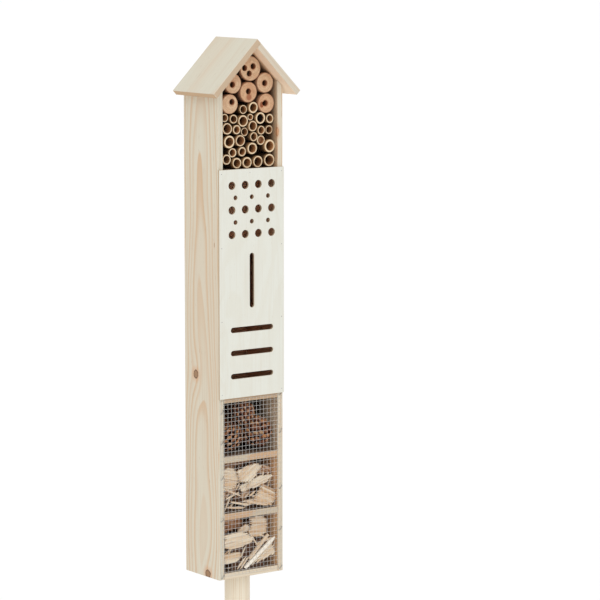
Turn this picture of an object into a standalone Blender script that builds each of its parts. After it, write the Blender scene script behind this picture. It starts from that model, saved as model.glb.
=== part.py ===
"""Insect hotel: a narrow gabled pine tower on a round wooden stake.

Frame: metres, +Z up, +X to the right, the open front faces -Y.
The origin is on the stake's axis at ground level, so the stake's point is
below it and the house stands above it.  Everything that lifts off the stake
is parented to the empty "house", which sits on the stake's axis at the
underside of the floor board; house sizes below are measured from there.
"""

import math

import bmesh
import bpy
from mathutils import Matrix, Vector

# ---------------------------------------------------------------- dimensions

GAP = 0.0003                 # clearance between touching pieces

HOUSE_WIDTH = 0.114
HOUSE_DEPTH = 0.086
BOARD = 0.009                # thickness of every pine board
FLOOR_HEIGHT = 0.300         # floor board's underside above the ground
STAKE_SETBACK = 0.036        # stake's axis behind the house's front edges

RIDGE = 0.784                # top of the ridge above the floor's underside
ROOF_HALF_WIDTH = 0.076      # level distance from the ridge to the eave
ROOF_OVERHANG = 0.018        # how far the roof stands out past the front
ROOF_PITCH = math.radians(45)

TUBE_SHELF_TOP = 0.597
HOLE_CHAMBER_FLOOR_TOP = 0.4915
SLOT_CHAMBER_FLOOR_TOP = 0.388
CONE_CEILING_TOP = 0.269
CONE_FLOOR_TOP = 0.181
CHIP_FLOOR_TOP = 0.097

PANEL_BOTTOM = 0.267
PANEL_TOP = 0.598
PANEL_THICK = 0.003
LARGE_HOLE = 0.012           # diameters
SMALL_HOLE = 0.007
HOLE_PITCH_X = 0.0232        # between the large holes of a row
SMALL_HOLE_PITCH_X = 0.0286
TOP_HOLE_ROW = 0.575
HOLE_ROW_STEP = 0.0177       # large and small rows alternate
SLOT = 0.008                 # width of every slot
UPRIGHT_SLOT = (0.3966, 0.4763)
LEVEL_SLOT_LENGTH = 0.075
LEVEL_SLOTS = (0.366, 0.3323, 0.2985)

MESH_CELL = 0.00635          # quarter-inch welded mesh
MESH_COLUMNS = 17
MESH_ROWS = 41
MESH_BOTTOM = 0.0046
MESH_BAR = 0.0009
MESH_THICK = 0.0014

STAKE_DIAMETER = 0.0375
STAKE_BELOW_GROUND = 0.250
STAKE_CUT = 0.132            # height of the slanting cut at the point
STAKE_POINT = 0.006          # wood left across the blunt point
STAKE_SOCKET = 0.045         # length of stake inside the house
STAKE_CLEARANCE = 0.0005
SOCKET_BLOCK = (0.056, 0.054, 0.040)

LOG_LENGTH = 0.066
LOG_HOLE = 0.0086
LOG_HOLE_DEPTH = 0.052
FILL_RECESS = 0.005          # logs and tubes behind the front edges
TUBE_LENGTH = 0.068
TUBE_WALL_RATIO = 0.125      # wall thickness as a share of the diameter
TUBE_NODE_THICK = 0.003

HALF = HOUSE_WIDTH / 2
INNER = HALF - BOARD
FRONT = -STAKE_SETBACK
BACK = FRONT + HOUSE_DEPTH
INNER_BACK = BACK - BOARD
APEX_INSIDE = RIDGE - BOARD / math.cos(ROOF_PITCH)

# Branch logs: name, centre x and z, diameter, holes as offsets from the centre.
MM = 0.001
LOGS = (
    ("log_top", 4, 740.5, 36, ((-10, 1), (5, 3), (-2, -7))),
    ("log_left_upper", -26.5, 720, 29, ((-1, -1.5),)),
    ("log_centre", 0.5, 707, 30, ((0, 1),)),
    ("log_right_upper", 29.5, 719.5, 29.5, ((-0.5, -0.5),)),
    ("log_left_lower", -32.5, 690.5, 28.5, ((4, 3),)),
    ("log_right_lower", 31.5, 690, 28.5, ((-1.5, 0),)),
)

# Bamboo: centre x and z, outer diameter, extra setback of the front end.
TUBES = (
    (-8, 682.5, 13, 1), (9, 684.5, 16.5, 0), (-39, 672, 12, 3),
    (-25.5, 669.5, 13, 0), (-9, 666, 17, 0), (4.5, 671, 9.5, 1),
    (21.5, 669, 17, 0), (39, 667.5, 13.5, 1), (-36.5, 656, 16.5, 0),
    (-19.5, 654, 13.5, 1), (8, 658, 15.5, 0), (23, 651.5, 13, 0),
    (38, 651.5, 13, 2), (-4, 650, 12.5, 4), (-14, 638, 16.5, 0),
    (10.5, 642.5, 13.5, 1), (23.5, 637, 14, 2), (-33, 637, 18.5, 0),
    (7, 626, 17, 0), (38.5, 628, 19, 0), (-25.5, 621, 13.5, 3),
    (-10, 622, 14, 1), (-38, 612, 14.5, 0), (-20, 606, 15.5, 0),
    (-2, 606, 16, 0), (17, 606.5, 17, 0), (38, 607.5, 18, 1),
)

# Pine cones: name, centre x, y and z, length, greatest diameter, lean angles.
CONES = (
    ("pine_cone_left", -26, -13, 206, 46, 37, (8, -24)),
    ("pine_cone_right", 23, -13, 207, 50, 40, (-6, 22)),
    ("pine_cone_top", -3, -14, 240, 46, 30, (0, 82)),
    ("pine_cone_rear", -8, 22, 211, 54, 36, (4, 8)),
)

# Split chips: name, corners (x, z) seen from the front, front y, thickness,
# turn about the upright axis in degrees.
CHIPS = (
    ("chip_upper_left", ((-45, 132), (-40, 156), (-8, 162), (14, 167), (4, 148), (-18, 136), (-34, 122)), -33, 5, 0),
    ("chip_upper_middle", ((-20, 121), (-14, 133), (16, 143), (40, 152), (44, 144), (20, 130), (-4, 116)), -27, 5, 0),
    ("chip_upper_right", ((4, 112), (14, 124), (30, 132), (45, 124), (46, 110), (28, 100), (8, 102)), -33, 6, 0),
    ("chip_lower_left", ((-46, 40), (-44, 60), (-18, 66), (4, 62), (6, 50), (-14, 40)), -33, 5, 0),
    ("chip_lower_top", ((-4, 62), (-6, 80), (10, 86), (34, 85), (36, 68), (24, 58), (6, 52)), -27.5, 5, 0),
    ("chip_lower_right", ((-8, 12), (10, 36), (30, 46), (45, 41), (46, 24), (26, 14), (6, 10)), -32, 4, 0),
    ("chip_lower_corner", ((-46, 11), (-46, 34), (-24, 36), (-14, 24), (-16, 11)), -33, 5, 0),
)


# ------------------------------------------------------------------ materials

def make_material(name, colour, roughness, metallic=0.0):
    """Return a Principled material of one colour."""
    material = bpy.data.materials.new(name)
    material.use_nodes = True
    shader = material.node_tree.nodes["Principled BSDF"]
    shader.inputs["Base Color"].default_value = (*colour, 1.0)
    shader.inputs["Roughness"].default_value = roughness
    shader.inputs["Metallic"].default_value = metallic
    material.diffuse_color = (*colour, 1.0)
    return material


# -------------------------------------------------------------------- objects

def add_object(name, mesh, material, parent=None, location=(0, 0, 0), rotation=(0, 0, 0)):
    """Link a mesh as one named piece and return its object."""
    piece = bpy.data.objects.new(name, mesh)
    mesh.materials.clear()
    mesh.materials.append(material)
    bpy.context.scene.collection.objects.link(piece)
    piece.parent = parent
    piece.location = location
    piece.rotation_euler = rotation
    return piece


def mesh_from(name, shape):
    """Turn an edited shape into mesh data with its faces pointing out."""
    bmesh.ops.recalc_face_normals(shape, faces=shape.faces)
    mesh = bpy.data.meshes.new(name)
    shape.to_mesh(mesh)
    shape.free()
    return mesh


def smooth_rounds(piece, degrees=40):
    """Shade a round piece smooth, keeping its real edges sharp."""
    piece.data.shade_smooth()
    piece.data.set_sharp_from_angle(angle=math.radians(degrees))


def ease_edges(piece, width=0.0005):
    """Take the sharpness off a sawn board's edges."""
    bevel = piece.modifiers.new("eased_edges", "BEVEL")
    bevel.width = width
    bevel.segments = 1
    bevel.limit_method = "ANGLE"


def add_board(name, low, high, material, parent, eased=True):
    """Make a square-edged board between two opposite corners."""
    low, high = Vector(low), Vector(high)
    shape = bmesh.new()
    bmesh.ops.create_cube(shape, size=1.0)
    bmesh.ops.scale(shape, vec=high - low, verts=shape.verts)
    board = add_object(name, mesh_from(name, shape), material, parent, (low + high) / 2)
    if eased:
        ease_edges(board)
    return board


def add_prism(name, outline, front, back, material, parent, location=(0, 0, 0), rotation=(0, 0, 0)):
    """Extrude an (x, z) outline from front to back along Y."""
    shape = bmesh.new()
    corners = [shape.verts.new((x, front, z)) for x, z in outline]
    face = shape.faces.new(corners)
    pushed = bmesh.ops.extrude_face_region(shape, geom=[face])
    moved = [item for item in pushed["geom"] if isinstance(item, bmesh.types.BMVert)]
    bmesh.ops.translate(shape, vec=(0, back - front, 0), verts=moved)
    return add_object(name, mesh_from(name, shape), material, parent, location, rotation)


def add_rod(shape, centre, diameter, front, back, sides):
    """Add a closed cylinder along Y to a shape."""
    matrix = Matrix.Translation((centre[0], (front + back) / 2, centre[1])) @ Matrix.Rotation(math.pi / 2, 4, "X")
    bmesh.ops.create_cone(
        shape, cap_ends=True, segments=sides, radius1=diameter / 2, radius2=diameter / 2,
        depth=abs(back - front), matrix=matrix)


def add_slot_cutter(shape, start, end, width, front, back, sides=8):
    """Add a round-ended bar along Y, from one (x, z) centre to another."""
    start, end = Vector(start), Vector(end)
    heading = math.atan2(end.y - start.y, end.x - start.x)
    outline = []
    for centre, turn in ((end, -math.pi / 2), (start, math.pi / 2)):
        for step in range(sides + 1):
            angle = heading + turn + math.pi * step / sides
            outline.append(centre + Vector((math.cos(angle), math.sin(angle))) * width / 2)
    corners = [shape.verts.new((point.x, front, point.y)) for point in outline]
    pushed = bmesh.ops.extrude_face_region(shape, geom=[shape.faces.new(corners)])
    moved = [item for item in pushed["geom"] if isinstance(item, bmesh.types.BMVert)]
    bmesh.ops.translate(shape, vec=(0, back - front, 0), verts=moved)


def cut_with(piece, name, shape):
    """Subtract a cutter shape, kept in the scene as a hidden guide."""
    cutter = bpy.data.objects.new(name, mesh_from(name, shape))
    bpy.context.scene.collection.objects.link(cutter)
    cutter.parent = piece.parent
    cutter.hide_render = True
    cutter.display_type = "WIRE"
    boolean = piece.modifiers.new("cut", "BOOLEAN")
    boolean.operation = "DIFFERENCE"
    boolean.solver = "EXACT"
    boolean.object = cutter


# --------------------------------------------------------------------- boards

def roof_underside(x):
    """Height of the roof's underside above the floor's underside at x."""
    return APEX_INSIDE - abs(x) * math.tan(ROOF_PITCH) - GAP / math.cos(ROOF_PITCH)


def build_carcass(house, pine):
    """Side boards, back, floor and the shelves between the rooms."""
    for name, side in (("left_side_board", -1), ("right_side_board", 1)):
        outline = [(side * HALF, 0), (side * INNER, 0)]
        outline += [(side * INNER, roof_underside(INNER)), (side * HALF, roof_underside(HALF))]
        ease_edges(add_prism(name, outline, FRONT, BACK, pine, house))

    inside = INNER - GAP
    floor = add_board("floor_board", (-inside, FRONT, 0), (inside, BACK, BOARD), pine, house)
    shape = bmesh.new()
    bmesh.ops.create_cone(
        shape, cap_ends=True, segments=32, depth=4 * BOARD,
        radius1=STAKE_DIAMETER / 2 + STAKE_CLEARANCE, radius2=STAKE_DIAMETER / 2 + STAKE_CLEARANCE)
    cut_with(floor, "stake_hole_cutter", shape)

    gable = [(-inside, BOARD + GAP), (inside, BOARD + GAP), (inside, roof_underside(inside))]
    gable += [(0, roof_underside(0)), (-inside, roof_underside(inside))]
    ease_edges(add_prism("back_board", gable, INNER_BACK, BACK, pine, house))

    shelves = {
        "tube_shelf": TUBE_SHELF_TOP,
        "hole_chamber_floor": HOLE_CHAMBER_FLOOR_TOP,
        "slot_chamber_floor": SLOT_CHAMBER_FLOOR_TOP,
        "cone_ceiling": CONE_CEILING_TOP,
        "cone_floor": CONE_FLOOR_TOP,
        "chip_floor": CHIP_FLOOR_TOP,
    }
    for name, top in shelves.items():
        add_board(name, (-inside, FRONT, top - BOARD), (inside, INNER_BACK - GAP, top), pine, house)


def build_roof(house, pine):
    """Two roof boards; the left one runs to the ridge over the right one's end."""
    slope = ROOF_HALF_WIDTH / math.cos(ROOF_PITCH)
    low_y, high_y = FRONT - ROOF_OVERHANG, BACK
    for name, side, start in (("roof_board_left", -1, 0.0), ("roof_board_right", 1, BOARD + GAP)):
        shape = bmesh.new()
        bmesh.ops.create_cube(shape, size=1.0)
        bmesh.ops.scale(shape, vec=(slope - start, high_y - low_y, BOARD), verts=shape.verts)
        shift = (side * (slope + start) / 2, (low_y + high_y) / 2, -BOARD / 2)
        bmesh.ops.translate(shape, vec=shift, verts=shape.verts)
        board = add_object(
            name, mesh_from(name, shape), pine, house,
            location=(0, 0, RIDGE), rotation=(0, side * ROOF_PITCH, 0))
        ease_edges(board)


def build_front_panel(house, plywood):
    """Plywood panel with its holes and slots."""
    face = FRONT - GAP
    panel = add_board(
        "front_panel", (-HALF, face - PANEL_THICK, PANEL_BOTTOM), (HALF, face, PANEL_TOP), plywood, house, False)
    front, back = face - 2 * PANEL_THICK, face + PANEL_THICK
    shape = bmesh.new()
    for row in range(5):
        z = TOP_HOLE_ROW - row * HOLE_ROW_STEP
        if row % 2 == 0:
            count, pitch, diameter, sides = 4, HOLE_PITCH_X, LARGE_HOLE, 24
        else:
            count, pitch, diameter, sides = 3, SMALL_HOLE_PITCH_X, SMALL_HOLE, 16
        for column in range(count):
            add_rod(shape, ((column - (count - 1) / 2) * pitch, z), diameter, front, back, sides)
    end = SLOT / 2
    add_slot_cutter(shape, (0, UPRIGHT_SLOT[0] + end), (0, UPRIGHT_SLOT[1] - end), SLOT, front, back)
    reach = LEVEL_SLOT_LENGTH / 2 - end
    for z in LEVEL_SLOTS:
        add_slot_cutter(shape, (-reach, z), (reach, z), SLOT, front, back)
    cut_with(panel, "panel_cutter", shape)


def build_wire_mesh(house, wire):
    """Mesh lattice with a bar at every second wire, as one welded sheet."""
    width, height = MESH_COLUMNS * MESH_CELL, MESH_ROWS * MESH_CELL
    columns, rows = MESH_COLUMNS // 2, MESH_ROWS // 2
    xs, zs = [], []
    for lines, count, span, start in ((xs, columns, width, -width / 2), (zs, rows, height, MESH_BOTTOM)):
        for index in range(count + 1):
            middle = start + MESH_BAR / 2 + (span - MESH_BAR) * index / count
            lines += [middle - MESH_BAR / 2, middle + MESH_BAR / 2]
    back = FRONT - GAP
    shape = bmesh.new()
    grid = [[shape.verts.new((x, back, z)) for x in xs] for z in zs]
    for row in range(len(zs) - 1):
        for column in range(len(xs) - 1):
            if row % 2 == 0 or column % 2 == 0:
                corners = (grid[row][column], grid[row][column + 1])
                corners += (grid[row + 1][column + 1], grid[row + 1][column])
                shape.faces.new(corners)
    pushed = bmesh.ops.extrude_face_region(shape, geom=shape.faces[:])
    moved = [item for item in pushed["geom"] if isinstance(item, bmesh.types.BMVert)]
    bmesh.ops.translate(shape, vec=(0, -MESH_THICK, 0), verts=moved)
    add_object("wire_mesh", mesh_from("wire_mesh", shape), wire, house)


# ---------------------------------------------------------------------- stake

def build_stake(wood):
    """Round stake with one slanting cut that leaves a blunt point."""
    radius = STAKE_DIAMETER / 2
    top = FLOOR_HEIGHT + STAKE_SOCKET
    bottom = -STAKE_BELOW_GROUND
    shape = bmesh.new()
    bmesh.ops.create_cone(
        shape, cap_ends=True, segments=32, radius1=radius, radius2=radius, depth=top - bottom,
        matrix=Matrix.Translation((0, 0, (top + bottom) / 2)))
    rise, run = STAKE_CUT, STAKE_DIAMETER - STAKE_POINT
    slant = Vector((0, -rise, -run)).normalized()
    bmesh.ops.bisect_plane(
        shape, geom=shape.verts[:] + shape.edges[:] + shape.faces[:],
        plane_co=(0, radius - STAKE_POINT, bottom), plane_no=slant, clear_outer=True)
    rim = [edge for edge in shape.edges if edge.is_boundary]
    bmesh.ops.holes_fill(shape, edges=rim)
    stake = add_object("stake", mesh_from("stake", shape), wood)
    smooth_rounds(stake)


def build_socket_block(house, pine):
    """Block on the floor board whose blind socket takes the stake's top."""
    wide, deep, tall = SOCKET_BLOCK
    base = BOARD + GAP
    block = add_board("socket_block", (-wide / 2, -deep / 2, base), (wide / 2, deep / 2, base + tall), pine, house)
    depth = STAKE_SOCKET + GAP
    shape = bmesh.new()
    bmesh.ops.create_cone(
        shape, cap_ends=True, segments=32, depth=depth,
        radius1=STAKE_DIAMETER / 2 + STAKE_CLEARANCE, radius2=STAKE_DIAMETER / 2 + STAKE_CLEARANCE,
        matrix=Matrix.Translation((0, 0, depth / 2)))
    cut_with(block, "socket_cutter", shape)


# ------------------------------------------------------------------- fillings

def settle(circles, rounds=600, clearance=0.0005):
    """Push overlapping circles apart inside the open top room.

    Each circle is [x, z, radius].  The walls, the tube shelf and the two
    roof slopes hold them in; nothing random is used.
    """
    slope = math.cos(ROOF_PITCH)
    for _ in range(rounds):
        for first in range(len(circles)):
            for second in range(first + 1, len(circles)):
                a, b = circles[first], circles[second]
                away = Vector((b[0] - a[0], b[1] - a[1]))
                short = a[2] + b[2] + clearance - away.length
                if short > 0:
                    push = away.normalized() * short / 2
                    a[0], a[1] = a[0] - push.x, a[1] - push.y
                    b[0], b[1] = b[0] + push.x, b[1] + push.y
        for circle in circles:
            reach = INNER - circle[2] - clearance
            circle[0] = max(-reach, min(reach, circle[0]))
            circle[1] = max(circle[1], TUBE_SHELF_TOP + circle[2] + clearance)
            room = (roof_underside(circle[0]) - circle[1]) * slope - circle[2] - clearance
            if room < 0:
                circle[0] += math.copysign(room * slope, circle[0])
                circle[1] += room * slope
    return circles


def add_log(name, centre, diameter, holes, house, wood):
    """Drilled branch log lying along Y, its front end open to the holes."""
    front = FRONT + FILL_RECESS
    shape = bmesh.new()
    add_rod(shape, (0, 0), diameter, 0, LOG_LENGTH, 24)
    log = add_object(name, mesh_from(name, shape), wood, house, (centre[0], front, centre[1]))
    cutter = bmesh.new()
    for x, z in holes:
        place = (centre[0] + x * MM, centre[1] + z * MM)
        add_rod(cutter, place, LOG_HOLE, front - 0.01, front + LOG_HOLE_DEPTH, 16)
    cut_with(log, name + "_drill", cutter)
    smooth_rounds(log)


def add_tube(name, centre, diameter, setback, house, bamboo):
    """Bamboo length, open at the front and closed by its node at the back."""
    sides = 16
    outer, inner = diameter / 2, diameter * (0.5 - TUBE_WALL_RATIO)
    back = TUBE_LENGTH - setback
    profile = ((outer, back), (outer, 0.0), (inner, 0.0), (inner, back - TUBE_NODE_THICK))
    shape = bmesh.new()
    rings = []
    for radius, y in profile:
        angles = [2 * math.pi * step / sides for step in range(sides)]
        rings.append([shape.verts.new((radius * math.cos(a), y, radius * math.sin(a))) for a in angles])
    for near, far in zip(rings, rings[1:]):
        for step in range(sides):
            after = (step + 1) % sides
            shape.faces.new((near[step], near[after], far[after], far[step]))
    shape.faces.new(rings[0])
    shape.faces.new(rings[-1])
    front = FRONT + FILL_RECESS + setback
    tube = add_object(name, mesh_from(name, shape), bamboo, house, (centre[0], front, centre[1]))
    smooth_rounds(tube)


def build_top_room(house, log_wood, bamboo):
    """Branch logs under the gable and the bamboo bundle below them."""
    circles = [[x * MM, z * MM, diameter * MM / 2] for _, x, z, diameter, _ in LOGS]
    circles += [[x * MM, z * MM, diameter * MM / 2] for x, z, diameter, _ in TUBES]
    circles = settle(circles)
    for (name, _, _, _, holes), (x, z, radius) in zip(LOGS, circles):
        add_log(name, (x, z), 2 * radius, holes, house, log_wood)
    for index, (tube, circle) in enumerate(zip(TUBES, circles[len(LOGS):]), start=1):
        x, z, radius = circle
        add_tube(f"bamboo_tube_{index:02d}", (x, z), 2 * radius, tube[3] * MM, house, bamboo)


def build_cones(house, brown):
    """Pine cones as closed egg shapes: wide below the middle, pointed on top."""
    sides, rings = 12, 9
    for name, x, y, z, length, diameter, lean in CONES:
        shape = bmesh.new()
        loops = []
        for ring in range(1, rings):
            share = ring / rings
            radius = diameter * MM / 2 * math.sin(math.pi * share ** 0.78) ** 0.8
            height = (share - 0.5) * length * MM
            angles = [2 * math.pi * step / sides for step in range(sides)]
            loops.append([shape.verts.new((radius * math.cos(a), radius * math.sin(a), height)) for a in angles])
        for low, high in zip(loops, loops[1:]):
            for step in range(sides):
                after = (step + 1) % sides
                shape.faces.new((low[step], low[after], high[after], high[step]))
        for loop, height in ((loops[0], -0.5), (loops[-1], 0.5)):
            tip = shape.verts.new((0, 0, height * length * MM))
            for step in range(sides):
                shape.faces.new((loop[step], loop[(step + 1) % sides], tip))
        tilt = (math.radians(lean[0]), math.radians(lean[1]), 0)
        cone = add_object(name, mesh_from(name, shape), brown, house, (x * MM, y * MM, z * MM), tilt)
        smooth_rounds(cone)


def build_chips(house, split_wood):
    """Split chips, each a flat shard standing in its own layer."""
    for name, corners, front, thick, turn in CHIPS:
        count = len(corners)
        middle = Vector((sum(x for x, _ in corners) / count, sum(z for _, z in corners) / count)) * MM
        outline = [(x * MM - middle.x, z * MM - middle.y) for x, z in corners]
        add_prism(
            name, outline, 0, thick * MM, split_wood, house,
            location=(middle.x, front * MM, middle.y), rotation=(0, 0, math.radians(turn)))


# ----------------------------------------------------------------------- main

def main():
    """Clear the scene and build the whole insect hotel."""
    for item in list(bpy.data.objects):
        bpy.data.objects.remove(item, do_unlink=True)

    pine = make_material("pine", (0.74, 0.64, 0.50), 0.65)
    plywood = make_material("plywood", (0.79, 0.77, 0.68), 0.7)
    log_wood = make_material("branch_wood", (0.73, 0.48, 0.29), 0.75)
    bamboo = make_material("bamboo", (0.70, 0.52, 0.30), 0.6)
    brown = make_material("cone_scales", (0.13, 0.055, 0.025), 0.8)
    split_wood = make_material("split_wood", (0.76, 0.62, 0.44), 0.75)
    wire = make_material("galvanised_wire", (0.55, 0.56, 0.56), 0.4, 1.0)

    house = bpy.data.objects.new("house", None)
    bpy.context.scene.collection.objects.link(house)
    house.location = (0, 0, FLOOR_HEIGHT)

    build_stake(pine)
    build_carcass(house, pine)
    build_socket_block(house, pine)
    build_roof(house, pine)
    build_front_panel(house, plywood)
    build_wire_mesh(house, wire)
    build_top_room(house, log_wood, bamboo)
    build_cones(house, brown)
    build_chips(house, split_wood)


main()
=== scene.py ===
"""Insect hotel: finishes and detail for the gabled pine tower on its stake.

Metres, +Z up, +X to the right, the open front faces -Y.  The pine boards, the
shelves, the front panel and the socket block keep their own solids and get new
finishes.  The wire mesh, the stake, the branch logs, the bamboo, the cones and
the chips are built here, each in the place of its solid.
"""

import logging
import math
import random
from dataclasses import dataclass, field
from enum import Enum
from typing import Callable, Iterable, Optional, Sequence, Union

import bmesh
import bpy
from mathutils import Matrix, Vector


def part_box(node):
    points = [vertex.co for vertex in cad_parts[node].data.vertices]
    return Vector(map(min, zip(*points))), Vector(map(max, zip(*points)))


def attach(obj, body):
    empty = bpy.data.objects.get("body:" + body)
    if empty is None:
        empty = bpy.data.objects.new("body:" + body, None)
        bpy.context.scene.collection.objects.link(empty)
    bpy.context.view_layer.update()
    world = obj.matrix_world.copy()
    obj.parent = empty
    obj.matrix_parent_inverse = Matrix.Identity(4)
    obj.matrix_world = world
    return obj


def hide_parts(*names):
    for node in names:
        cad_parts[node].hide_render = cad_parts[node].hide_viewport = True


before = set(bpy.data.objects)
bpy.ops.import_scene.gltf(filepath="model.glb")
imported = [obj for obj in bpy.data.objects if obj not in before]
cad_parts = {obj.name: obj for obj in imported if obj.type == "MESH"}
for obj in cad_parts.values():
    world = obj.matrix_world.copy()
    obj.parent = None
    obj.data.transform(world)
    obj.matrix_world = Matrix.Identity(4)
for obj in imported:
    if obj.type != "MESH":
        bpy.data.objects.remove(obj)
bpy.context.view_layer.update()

LOG = logging.getLogger("insect_hotel")
MM = 0.001
HOUSE = "house"
STAKE = "stake"
GRAIN = "grain"              # attribute: place in the piece's own wood, fibres along Z
SHARE = "share"              # attribute: 0 at the heart or inner wall, 1 at the outer skin
TONE = "tone"                # attribute: one chance value for each small part
WALL = "wall"                # attribute: how far a point is inside a drilled hole or a tube

Colour = tuple[float, float, float, float]
Triple = tuple[float, float, float]
Pair = tuple[float, float]
Socket = bpy.types.NodeSocket
Material = bpy.types.Material
Piece = bpy.types.Object
Mesh = bpy.types.Mesh
Shape = bmesh.types.BMesh
Ring = Sequence[bmesh.types.BMVert]


def tint(red: int, green: int, blue: int) -> Colour:
    """Turn a display colour of 0 to 255 into the linear colour a shader takes.

    Args:
        red: Red part.
        green: Green part.
        blue: Blue part.

    Returns:
        Linear colour with full alpha.
    """
    def linear(level: int) -> float:
        """Undo the display curve for one channel."""
        share = level / 255
        return share / 12.92 if share <= 0.04045 else ((share + 0.055) / 1.055) ** 2.4

    return linear(red), linear(green), linear(blue), 1.0


# --------------------------------------------------------------- node benches

def arithmetic(operation: str, swapped: bool = False) -> Callable[["Signal", "Value"], "Signal"]:
    """Make one of the signals' arithmetic operators.

    Args:
        operation: The Math node's operation.
        swapped: Whether the signal is the second value.

    Returns:
        The operator.
    """
    def operator(signal: "Signal", other: "Value") -> "Signal":
        """Add the Math node for this operator."""
        return signal.math(operation, *((other, signal) if swapped else (signal, other)))

    return operator


class Signal:
    """A number socket whose arithmetic adds Math nodes to its tree."""

    __add__, __radd__ = arithmetic("ADD"), arithmetic("ADD", True)
    __sub__, __rsub__ = arithmetic("SUBTRACT"), arithmetic("SUBTRACT", True)
    __mul__, __rmul__ = arithmetic("MULTIPLY"), arithmetic("MULTIPLY", True)
    __pow__, __rpow__ = arithmetic("POWER"), arithmetic("POWER", True)
    __truediv__ = arithmetic("DIVIDE")
    most = arithmetic("MAXIMUM")

    def __init__(self, bench: "Bench", socket: Socket) -> None:
        """Wrap one socket of a bench's tree."""
        self.bench = bench
        self.socket = socket

    def math(self, operation: str, *values: "Value") -> "Signal":
        """Add one Math node.

        Args:
            operation: The Math node's operation.
            values: Its values or links, in order.

        Returns:
            The node's result.
        """
        return self.bench.signal("ShaderNodeMath", {"operation": operation}, dict(enumerate(values)))

    def __neg__(self) -> "Signal":
        """Change the sign."""
        return self * -1.0

    def __abs__(self) -> "Signal":
        """Drop the sign."""
        return self.math("ABSOLUTE", self)

    def floor(self) -> "Signal":
        """Round down to a whole number."""
        return self.math("FLOOR", self)

    def ramp(self, low: float, high: float) -> "Signal":
        """Rise smoothly from 0 at low to 1 at high, or fall if high is the lower.

        Args:
            low: Value that gives 0.
            high: Value that gives 1.

        Returns:
            The smoothed share, held between 0 and 1.
        """
        share = self.bench.signal("ShaderNodeMapRange", {"interpolation_type": "SMOOTHSTEP"}, {
            "Value": self, "From Min": min(low, high), "From Max": max(low, high)})
        return share if low <= high else 1 - share


Value = Union[float, int, Signal]
Link = Union[Value, Sequence[float], Socket, str, Material]


class Bench:
    """One node tree and the single method that adds its nodes."""

    def __init__(self, tree: bpy.types.NodeTree) -> None:
        """Take the tree to work on."""
        self.tree = tree

    def add(self, kind: str, settings: Optional[dict] = None, inputs: Optional[dict] = None) -> bpy.types.Node:
        """Add one node, set it, then fill its sockets.

        Args:
            kind: The node's type.
            settings: Its own properties.
            inputs: Socket name or number, and the value, link or list of links it takes.

        Returns:
            The new node.
        """
        node = self.tree.nodes.new(kind)
        for name, value in (settings or {}).items():
            setattr(node, name, value)
        for key, value in (inputs or {}).items():
            for item in value if isinstance(value, list) else [value]:
                item = item.socket if isinstance(item, Signal) else item
                if isinstance(item, Socket):
                    self.tree.links.new(item, node.inputs[key])
                else:
                    node.inputs[key].default_value = item
        return node

    def socket(self, kind: str, settings: Optional[dict] = None, inputs: Optional[dict] = None,
               output: Union[int, str] = 0) -> Socket:
        """Add a node and take one of its outputs.

        Args:
            kind: The node's type.
            settings: Its own properties.
            inputs: What its sockets take.
            output: Name or number of the output.

        Returns:
            The output's socket.
        """
        return self.add(kind, settings, inputs).outputs[output]

    def signal(self, *details: object) -> Signal:
        """Add a node as socket() does, ready for arithmetic."""
        return Signal(self, self.socket(*details))

    def vector(self, x: Value, y: Value, z: Value) -> Socket:
        """Join three numbers into a vector."""
        return self.socket("ShaderNodeCombineXYZ", None, {0: x, 1: y, 2: z})

    def split(self, vector: Socket) -> tuple[Signal, ...]:
        """Part a vector into its three numbers."""
        parts = self.add("ShaderNodeSeparateXYZ", None, {0: vector}).outputs
        return tuple(Signal(self, part) for part in parts)

    def vector_math(self, operation: str, first: Link, second: Link) -> Socket:
        """Add one Vector Math node.

        Args:
            operation: What it does.
            first: Its first vector.
            second: Its second vector.

        Returns:
            The resulting vector.
        """
        return self.socket("ShaderNodeVectorMath", {"operation": operation}, {0: first, 1: second})


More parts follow.
